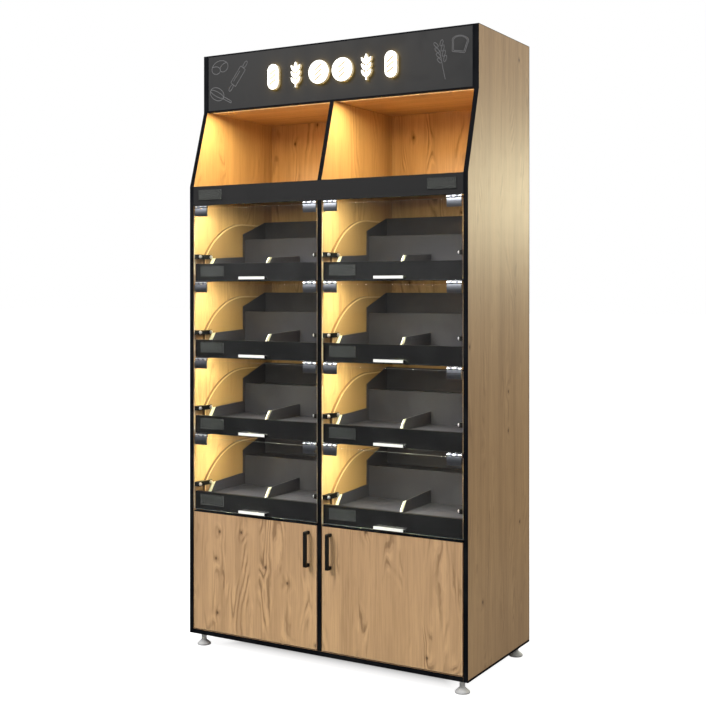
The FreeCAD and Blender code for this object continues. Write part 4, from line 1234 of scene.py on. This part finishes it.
def pretzel() -> list[Line]:
    """A pretzel as one line that crosses itself.

    Returns:
        Its line, in a list.
    """
    steps = 72
    line = []
    for step in range(steps + 1):
        turn = -4 + 8 * step / steps
        x = (3.3 - 0.4 * turn * turn) * math.sin(turn)
        z = (2.5 - 0.3 * turn * turn) * math.cos(turn)
        line.append((x / 6.4, z / 6.4))
    return [line]


def whisk() -> list[Line]:
    """A whisk with two nested loops.

    Returns:
        Its lines.
    """
    grip = [(-0.03, -0.5), (0.03, -0.5), (0.04, -0.14), (-0.04, -0.14), (-0.03, -0.5)]
    loops = [ellipse(0, 0.18, width, 0.62, -90, 270) for width in (0.16, 0.42)]
    return [grip, *loops]


def wheat_ear() -> list[Line]:
    """An ear with a bent stem and leaning grains.

    Returns:
        Its lines.
    """
    stem = [(0.1 - 0.1 * math.cos(step / 12), -0.5 + step / 14) for step in range(11)]
    lines = [stem]
    for pair in range(4):
        level = -0.02 + pair * 0.13
        for hand in (-1, 1):
            grain = []
            for x, z in ellipse(0, 0, 0.07, 0.16, steps=14):
                lean = math.radians(-32 * hand)
                grain.append((hand * 0.075 + 0.04 + x * math.cos(lean) - z * math.sin(lean),
                              level + x * math.sin(lean) + z * math.cos(lean)))
            lines.append(grain)
    return lines


def bread_slice() -> list[Line]:
    """A slice of tin bread with its crust line.

    Returns:
        Its lines.
    """
    lines = []
    for share in (1.0, 0.84):
        crown = ellipse(0, 0.14, 0.86 * share, 0.5 * share, -20, 200)
        foot = [(-0.33 * share, -0.4 * share), (0.33 * share, -0.4 * share)]
        lines.append([*crown, *foot, crown[0]])
    return lines


@dataclass
class Header:
    """Fascia, raised lit motifs and chalk-like line drawings."""

    finishes: Finishes
    lip_radius: float = 0.0008
    motif_radius: float = 0.0009
    stroke_radius: float = 0.0014
    stroke_step: float = 0.004
    wobble: float = 0.0012
    flatness: float = 0.25

    def build(self) -> None:
        """Dress the fascia and everything on it."""
        Halo(self.finishes).build()
        dress("header_lit_motifs", [self.finishes.motif_side, self.finishes.motif_face],
              faces_front, self.motif_radius)
        dress("upper_lip", [self.finishes.laminate], None, self.lip_radius)
        self.build_drawings()

    def build_drawings(self) -> None:
        """Draw the chalk motifs at both ends of the fascia."""
        low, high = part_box("header_fascia")
        left = low.x
        right = high.x
        middle = (low.z + high.z) / 2
        drawings = [
            ChalkDrawing(pretzel(), (left + 0.064, middle + 0.05), height=0.1, lean=12),
            ChalkDrawing(rolling_pin(), (left + 0.15, middle + 0.02), height=0.14, lean=-38),
            ChalkDrawing(whisk(), (left + 0.066, middle - 0.052), height=0.115, lean=62),
            ChalkDrawing(wheat_ear(), (right - 0.13, middle), height=0.15, lean=14),
            ChalkDrawing(bread_slice(), (right - 0.055, middle + 0.048), height=0.075, lean=-10),
        ]
        points: list[Vector] = []
        edges: list[tuple[int, int]] = []
        for drawing in drawings:
            spots, links = drawing.placed(low.y)
            edges.extend((first + len(points), second + len(points)) for first, second in links)
            points.extend(spots)
        mesh = grow(CHALK_STROKES, points_mesh("chalk_seed", points, edges), {
            "Stroke Radius": self.stroke_radius, "Step": self.stroke_step, "Wobble": self.wobble,
            "Face Y": low.y, "Flatness": self.flatness, "Finish": self.finishes.chalk})
        show_mesh("fascia_line_drawings", mesh, [], "cabinet")


@dataclass
class Compartments:
    """Bands, ticket pockets, curved cheeks, flap stops and trays."""

    finishes: Finishes
    board_radius: float = 0.0008
    bar_radius: float = 0.001
    sheet_radius: float = 0.0005
    cheek_highlight_line: float = 0.006
    highlight_strip: float = 0.014
    wall_reach: Flat = (0.006, 0.06)

    def build(self) -> None:
        """Dress what stands in the eight compartments."""
        looks = self.finishes
        dress("row_bands", [looks.band], None, self.board_radius)
        dress("ticket_holders", [looks.ticket, looks.ticket_edge], is_rim)
        self.build_cheeks()
        dress("flap_stop_bars", [looks.powder], None, self.bar_radius)
        dress("dome_nuts", [looks.dome])
        for node in ("tray_floors", "tier_boards", "tier_cheeks"):
            dress(node, [looks.sheet], None, self.sheet_radius)
        self.build_walls()

    def build_walls(self) -> None:
        """Dress the tray walls, each with a light strip of painted highlight along its sloping
        front end.
        """
        work = tidy_copy("tray_walls", faces_front)
        across, upright = self.wall_reach
        ends = [(face.calc_center_median(), face.normal.copy())
                for face in work.faces if faces_front(face)]
        for end, outward in ends:
            mark_beyond(work, end - outward * self.highlight_strip, outward, 1, lambda face: int(
                abs(face.calc_center_median().x - end.x) < across
                and abs(face.calc_center_median().z - end.z) < upright))
        finish_piece("tray_walls", work, [self.finishes.sheet, self.finishes.sheet_painted_highlight],
                     self.sheet_radius)

    def build_cheeks(self) -> None:
        """Dress the curved cheeks: boards darker as painted shade, a pale painted highlight line
        along a dark painted shadow edge.
        """
        looks = self.finishes
        work = tidy_copy("curved_cheeks", lambda face: int(abs(face.normal.x) <= HALF_TURNED))
        sides = [face for face in work.faces if not face.material_index]
        # Painted highlight: a pale ring along the outline of the cheeks' broad faces.
        mark_ring(work, sides, self.cheek_highlight_line, 2, even=True)
        finish_piece("curved_cheeks", work, [looks.oak_cheek_painted_shade, looks.cheek_edge_painted_shadow, looks.oak_edge_highlight],
                     self.board_radius)


@dataclass
class Flaps:
    """Eight clear flaps with their white grips and chrome hinges."""

    finishes: Finishes
    panel_radius: float = 0.0005
    grip_radius: float = 0.0012
    grip_shade_line: float = 0.0028
    hinge_radius: float = 0.0004
    crown_depth: float = 0.0013
    crown_steps: int = 8

    def build(self) -> None:
        """Dress the flaps and what carries them."""
        looks = self.finishes
        for side in SIDES:
            for row in ROWS:
                tag = f"{side}_{row}"
                dress("flap_panel_" + tag, [looks.flap, looks.flap_edge_highlight], is_rim,
                      self.panel_radius)
                self.build_grip("flap_handle_" + tag)
                self.build_leaves("flap_hinge_leaves_" + tag)
        dress("flap_hinge_plates", [looks.chrome], None, self.hinge_radius)
        dress("flap_hinge_pins", [looks.nickel])

    def build_grip(self, node: str) -> None:
        """Dress a flap's white grip, with black ends and a black lower line of painted shade.

        Args:
            node: The grip's node.
        """
        work = tidy_copy(node, lambda face: int(abs(face.normal.x) > SQUARE_ON))
        # Painted shade: the grip's front goes black along its lower edge.
        low = min(vert.co.z for vert in work.verts)
        mark_beyond(work, UP * (low + self.grip_shade_line), -UP, 1,
                    lambda face: int(face.normal.z > -SQUARE_ON))
        finish_piece(node, work, [self.finishes.lacquer, self.finishes.edging],
                     self.grip_radius, FINE_STEPS)

    def build_leaves(self, node: str) -> None:
        """Dress a flap's two clamp leaves and crown their front faces.

        Args:
            node: The leaves' node.
        """
        work = tidy_copy(node)
        face = max((side for side in work.faces if faces_front(side)),
                   key=lambda side: side.calc_area())
        heights = [vert.co.z for vert in face.verts]
        low = min(heights)
        half = (max(heights) - low) / 2
        front = face.calc_center_median().y
        for step in range(1, self.crown_steps):
            cut_all(work, UP * (low + 2 * half * step / self.crown_steps), UP)
        for vert in work.verts:
            if abs(vert.co.y - front) < MERGE_DISTANCE:
                vert.co.y += self.crown_depth * ((vert.co.z - low - half) / half) ** 2
        # The leaves take the dark chrome of painted reflection.
        finish_piece(node, work, [self.finishes.clamp], self.hinge_radius)


@dataclass
class Lighting:
    """Light bars, their driver and the mains inlet."""

    finishes: Finishes
    profile_radius: float = 0.0003
    driver_radius: float = 0.002
    inlet_radius: float = 0.0005
    inlet_lip: float = 0.005
    inlet_recess: float = 0.018
    pin_length: float = 0.013
    pin_width: float = 0.004
    pin_thickness: float = 0.0022
    pin_pitch: float = 0.008

    def build(self) -> None:
        """Dress the electrical parts."""
        looks = self.finishes
        dress("light_channels", [looks.aluminium], None, self.profile_radius)
        dress("light_diffusers", [looks.bar_light])
        dress("light_driver", [looks.housing], None, self.driver_radius,
              FINE_STEPS)
        self.build_inlet()

    def build_inlet(self) -> None:
        """Sink a socket into the inlet's outer face, and stand three contacts in it."""
        work = tidy_copy("mains_inlet")
        outer = max(work.faces, key=lambda face: face.calc_center_median().y)
        bmesh.ops.inset_region(work, faces=[outer], thickness=self.inlet_lip)
        moved = bmesh.ops.extrude_discrete_faces(work, faces=[outer])["faces"]
        bmesh.ops.translate(work, verts=moved[0].verts, vec=(0, -self.inlet_recess, 0))
        centre = moved[0].calc_center_median()
        size = Matrix.Diagonal((self.pin_thickness, self.pin_length, self.pin_width, 1))
        for column, level in ((-1, -0.5), (0, 0.5), (1, -0.5)):
            place = centre + Vector((column * self.pin_pitch, self.pin_length / 2,
                                     level * self.pin_pitch))
            pin = bmesh.ops.create_cube(work, size=1, matrix=Matrix.Translation(place) @ size)
            for face in {face for vert in pin["verts"] for face in vert.link_faces}:
                face.material_index = 1
        finish_piece("mains_inlet", work, [self.finishes.socket, self.finishes.nickel],
                     self.inlet_radius)


@dataclass
class Cupboard:
    """Doors, D handles, cup hinges and shelf pegs."""

    finishes: Finishes
    edge_highlight_width: float = 0.0024
    top_line: float = 0.004
    door_radius: float = 0.0012
    handle_radius: float = 0.0012
    cup_radius: float = 0.0004
    arm_radius: float = 0.0006
    cup_middle: float = 0.026
    screw_radius: float = 0.0036
    screw_height: float = 0.0012
    screw_spread: float = 0.019
    screw_seed: int = 8

    def build(self) -> None:
        """Dress the cupboard."""
        looks = self.finishes
        for side in SIDES:
            self.build_door(side)
            dress("door_handle_" + side, [looks.powder], None, self.handle_radius,
                  FINE_STEPS)
            dress("door_hinge_cups_" + side, [looks.nickel], None, self.cup_radius)
            self.build_screws(side)
        dress("door_hinge_arms", [looks.nickel], None, self.arm_radius)
        dress("shelf_pegs", [looks.nickel])

    def build_door(self, side: str) -> None:
        """Give a door its figure, a painted highlight band along its front's edges and a black top
        line.

        Args:
            side: left or right.
        """
        looks = self.finishes
        work = tidy_copy("door_panel_" + side, is_rim)
        front = min(work.faces, key=lambda face: face.calc_center_median().y)
        # Painted highlight: a lighter band round the front face's edges.
        mark_ring(work, [front], self.edge_highlight_width, 1)
        top = max(vert.co.z for vert in work.verts)
        mark_beyond(work, UP * (top - self.top_line), UP, 2)
        finish_piece("door_panel_" + side, work, [looks.oak_front, looks.oak_edge_highlight, looks.edging],
                     self.door_radius, FINE_STEPS)

    def build_screws(self, side: str) -> None:
        """Put two screws through each hinge cup's flange.

        Args:
            side: left or right.
        """
        low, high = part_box("door_hinge_cups_" + side)
        middle = (low.x + high.x) / 2
        heights = [low.z + self.cup_middle, high.z - self.cup_middle]
        spots = [Vector((middle, high.y, z + hand * self.screw_spread))
                 for z in heights for hand in (-1, 1)]
        mesh = grow(SCREW_HEADS, points_mesh("hinge_screws_" + side, spots), {
            "Facing": tuple(REARWARD), "Head Radius": self.screw_radius,
            "Head Height": self.screw_height, "Seed": self.screw_seed,
            "Finish": self.finishes.chrome})
        show_mesh("door_hinge_screws_" + side, mesh, [], "door_" + side)


@dataclass
class Feet:
    """Levelling feet with a ribbed rim for turning them."""

    finishes: Finishes
    foot_radius: float = 0.026
    rounding: float = 0.0006
    rim_height: float = 0.006
    ribs: int = 40
    rib_size: Flat = (0.0012, 0.0018)
    rib_share: float = 0.8

    def build(self) -> None:
        """Dress the feet and put ribs round their rims."""
        dress("levelling_feet", [self.finishes.foot], None, self.rounding)
        low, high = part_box("levelling_feet")
        centres = [Vector((x, y, low.z + self.rim_height / 2))
                   for x in (low.x + self.foot_radius, high.x - self.foot_radius)
                   for y in (low.y + self.foot_radius, high.y - self.foot_radius)]
        mesh = grow(RIB_RINGS, points_mesh("foot_seed", centres), {
            "Ribs": self.ribs, "Ring Radius": self.foot_radius,
            "Rib Size": (*self.rib_size, self.rim_height * self.rib_share),
            "Finish": self.finishes.foot})
        show_mesh("levelling_feet_ribs", mesh, [], "cabinet")


@dataclass(frozen=True)
class Lamp:
    """A soft rectangular lamp that looks at a target."""

    name: str
    place: Spot
    target: Spot
    size: Flat
    power: float
    colour: Colour

    def build(self) -> Object:
        """Add the lamp to the scene.

        Returns:
            The lamp's object.
        """
        data = bpy.data.lights.new(self.name, "AREA")
        data.shape = "RECTANGLE"
        data.size, data.size_y = self.size
        data.energy = self.power
        data.color = self.colour
        lamp = bpy.data.objects.new(self.name, data)
        lamp.location = self.place
        direction = Vector(self.target) - Vector(self.place)
        lamp.rotation_euler = direction.to_track_quat("-Z", "Y").to_euler()
        lamp.visible_transmission = False
        bpy.context.scene.collection.objects.link(lamp)
        return lamp


@dataclass
class Studio:
    """Camera, soft lights, pale floor and background."""

    place: Spot = (2.301, -3.959, 1.3995)
    heading: float = 30.285
    lens: float = 60.27
    sensor_width: float = 36
    shift: float = -0.0902
    floor_half: float = 60.0
    floor_painted_shadow: Span = (-0.24, -0.08, 0.1, 0.93)
    floor_gleam: Span = (0.8, 2.4, 0.16, 0.0)
    floor_behind: Flat = (-2.2, -1.2)
    floor_tone: Colour = (0.4, 0.4, 0.4)
    gleam_tone: Colour = (0.04, 0.04, 0.04)
    world_level: float = 0.42
    room_height: Span = (0.05, 0.45, 0.12, 1.1)
    room_depth: Span = (-0.25, 0.35, 0.0, 0.6)
    world_behind: Span = (-0.3, 0.05, 0.2, 1.0)
    clamp: float = 60.0
    lamps: tuple[Lamp, ...] = (
        Lamp("key", (-1.9, -3.8, 4.3), (0.0, 0.0, 1.0), (2.2, 1.8), 270.0, (1.0, 0.985, 0.96)),
        Lamp("side_glow", (2.32, 4.0, 2.06), (0.6, 0.0, 1.79), (1.5, 0.6), 45.0,
             (1.0, 0.93, 0.62)),
        Lamp("side_fill", (4.6, -0.8, 3.4), (0.6, 0.0, 1.9), (2.0, 2.0), 54.0, (1.0, 1.0, 0.88)))
    bar_gap: float = 0.001
    bar_share: float = 0.8
    header_lean: float = -0.12
    row_glow: tuple[float, Colour] = (7.1, (1.0, 0.97, 0.54))
    header_glow: tuple[float, Colour] = (6.5, (1.0, 0.82, 0.36))

    def build(self) -> None:
        """Set up the studio."""
        bpy.context.scene.view_settings.view_transform = "Standard"
        bpy.context.scene.cycles.sample_clamp_indirect = self.clamp
        self.build_camera()
        self.build_floor()
        self.build_world()
        for lamp in self.lamps:
            lamp.build()
        self.build_bar_glow()

    def build_bar_glow(self) -> None:
        """Put a lamp in front of each light bar's diffuser."""
        header_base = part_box("header_soffit")[0].z
        for number, (low, high) in enumerate(solid_boxes("light_diffusers")):
            middle = (low + high) / 2
            in_header = low.z > header_base - self.bar_gap
            power, colour = self.header_glow if in_header else self.row_glow
            lean = self.header_lean if in_header else 0.0
            lamp = Lamp(f"bar_glow_{number}", (middle.x, middle.y, low.z - self.bar_gap),
                        (middle.x, middle.y + lean, low.z - 1),
                        ((high.x - low.x) * self.bar_share, high.y - low.y), power, colour)
            lamp.build().visible_glossy = False

    def build_camera(self) -> None:
        """Place the camera at the photograph's viewpoint."""
        data = bpy.data.cameras.new("camera")
        data.lens = self.lens
        data.sensor_width = self.sensor_width
        data.shift_y = self.shift
        camera = bpy.data.objects.new("camera", data)
        camera.location = self.place
        camera.rotation_euler = (math.pi / 2, 0, math.radians(self.heading))
        bpy.context.scene.collection.objects.link(camera)
        bpy.context.scene.camera = camera

    @staticmethod
    def straight_rays(canvas: Canvas, path: Node) -> tuple[NodeSocket, NodeSocket]:
        """Mask the rays that no matt surface has scattered.

        Args:
            canvas: The canvas of the tree.
            path: Its Light Path node.

        Returns:
            A mask of mirrored rays, and one of those that only passed clear sheets.
        """
        unscattered = canvas.maths("LESS_THAN", path.outputs["Diffuse Depth"], 0.5)
        unmirrored = canvas.maths("LESS_THAN", path.outputs["Glossy Depth"], 0.5)
        mirrored = canvas.maths("MULTIPLY", path.outputs["Is Glossy Ray"], unscattered)
        through = canvas.maths("MULTIPLY", path.outputs["Is Transmission Ray"], unscattered)
        return mirrored, canvas.maths("MULTIPLY", through, unmirrored)

    def build_floor(self) -> None:
        """Lay a pale floor that shows white, with a painted shadow under the unit where its glow
        fades.
        """
        material, canvas, output = new_material("pale_floor")
        parts = canvas.add("ShaderNodeSeparateXYZ", {0: canvas.place()})
        low, high = CAD_BOX
        beyond_x = canvas.maths("SUBTRACT", canvas.maths("ABSOLUTE", parts.outputs[0]), high[0])
        beyond_y = canvas.maths("SUBTRACT", canvas.maths("ABSOLUTE", parts.outputs[1]), high[1])
        outside = canvas.maths("MAXIMUM", beyond_x, beyond_y)
        # Painted shadow: the floor's glow fades near and under the unit's footprint.
        level = canvas.span(outside, *self.floor_painted_shadow)
        near = canvas.span(outside, *self.floor_gleam)
        behind = canvas.span(parts.outputs[1], *self.floor_behind)
        path = canvas.add("ShaderNodeLightPath")
        mirrored, through = self.straight_rays(canvas, path)
        seen = canvas.maths("MAXIMUM", path.outputs["Is Camera Ray"],
                            canvas.maths("MULTIPLY", mirrored, near))
        seen = canvas.maths("MAXIMUM", seen, canvas.maths("MULTIPLY", through, behind))
        glow = canvas.add("ShaderNodeEmission", {"Color": (1.0, 1.0, 1.0),
                                                 "Strength": canvas.maths("MULTIPLY", level, seen)})
        tone = canvas.mix(mirrored, self.floor_tone, self.gleam_tone)
        matt = canvas.add("ShaderNodeBsdfDiffuse", {"Color": tone})
        total = canvas.add("ShaderNodeAddShader", {0: glow.outputs[0], 1: matt.outputs[0]})
        canvas.tree.links.new(total.outputs[0], output.inputs[0])
        half = self.floor_half
        mesh = bpy.data.meshes.new("floor")
        mesh.from_pydata([(-half, -half, 0), (half, -half, 0), (half, half, 0), (-half, half, 0)],
                         [], [(0, 1, 2, 3)])
        mesh.materials.append(material)
        floor = bpy.data.objects.new("floor", mesh)
        bpy.context.scene.collection.objects.link(floor)

    def build_world(self) -> None:
        """Light the scene softly from all round, before a white background."""
        world = bpy.data.worlds.new("studio")
        bpy.context.scene.world = world
        world.use_nodes = True
        world.node_tree.nodes.clear()
        canvas = Canvas(world.node_tree)
        toward = canvas.add("ShaderNodeTexCoord").outputs["Generated"]
        parts = canvas.add("ShaderNodeSeparateXYZ", {0: toward})
        ahead, height = parts.outputs[1], parts.outputs[2]
        room = canvas.maths("MAXIMUM", canvas.span(height, *self.room_height),
                            canvas.span(ahead, *self.room_depth))
        beyond = canvas.span(ahead, *self.world_behind)
        path = canvas.add("ShaderNodeLightPath")
        mirrored, through = self.straight_rays(canvas, path)
        level = canvas.blend(mirrored, self.world_level, room)
        level = canvas.blend(through, level, beyond)
        level = canvas.maths("MAXIMUM", level, path.outputs["Is Camera Ray"])
        sky = canvas.add("ShaderNodeBackground", {"Color": (1.0, 1.0, 1.0), "Strength": level})
        output = canvas.add("ShaderNodeOutputWorld")
        canvas.tree.links.new(sky.outputs[0], output.inputs[0])


def main() -> None:
    """Build the studio and every sub-assembly."""
    logging.basicConfig(level=logging.INFO, format="%(message)s")
    Studio().build()
    finishes = Finishes()
    for assembly in (Carcass, Header, Compartments, Flaps, Lighting, Cupboard, Feet):
        LOG.info("building %s", assembly.__name__)
        assembly(finishes).build()


if __name__ == "__main__":
    main()
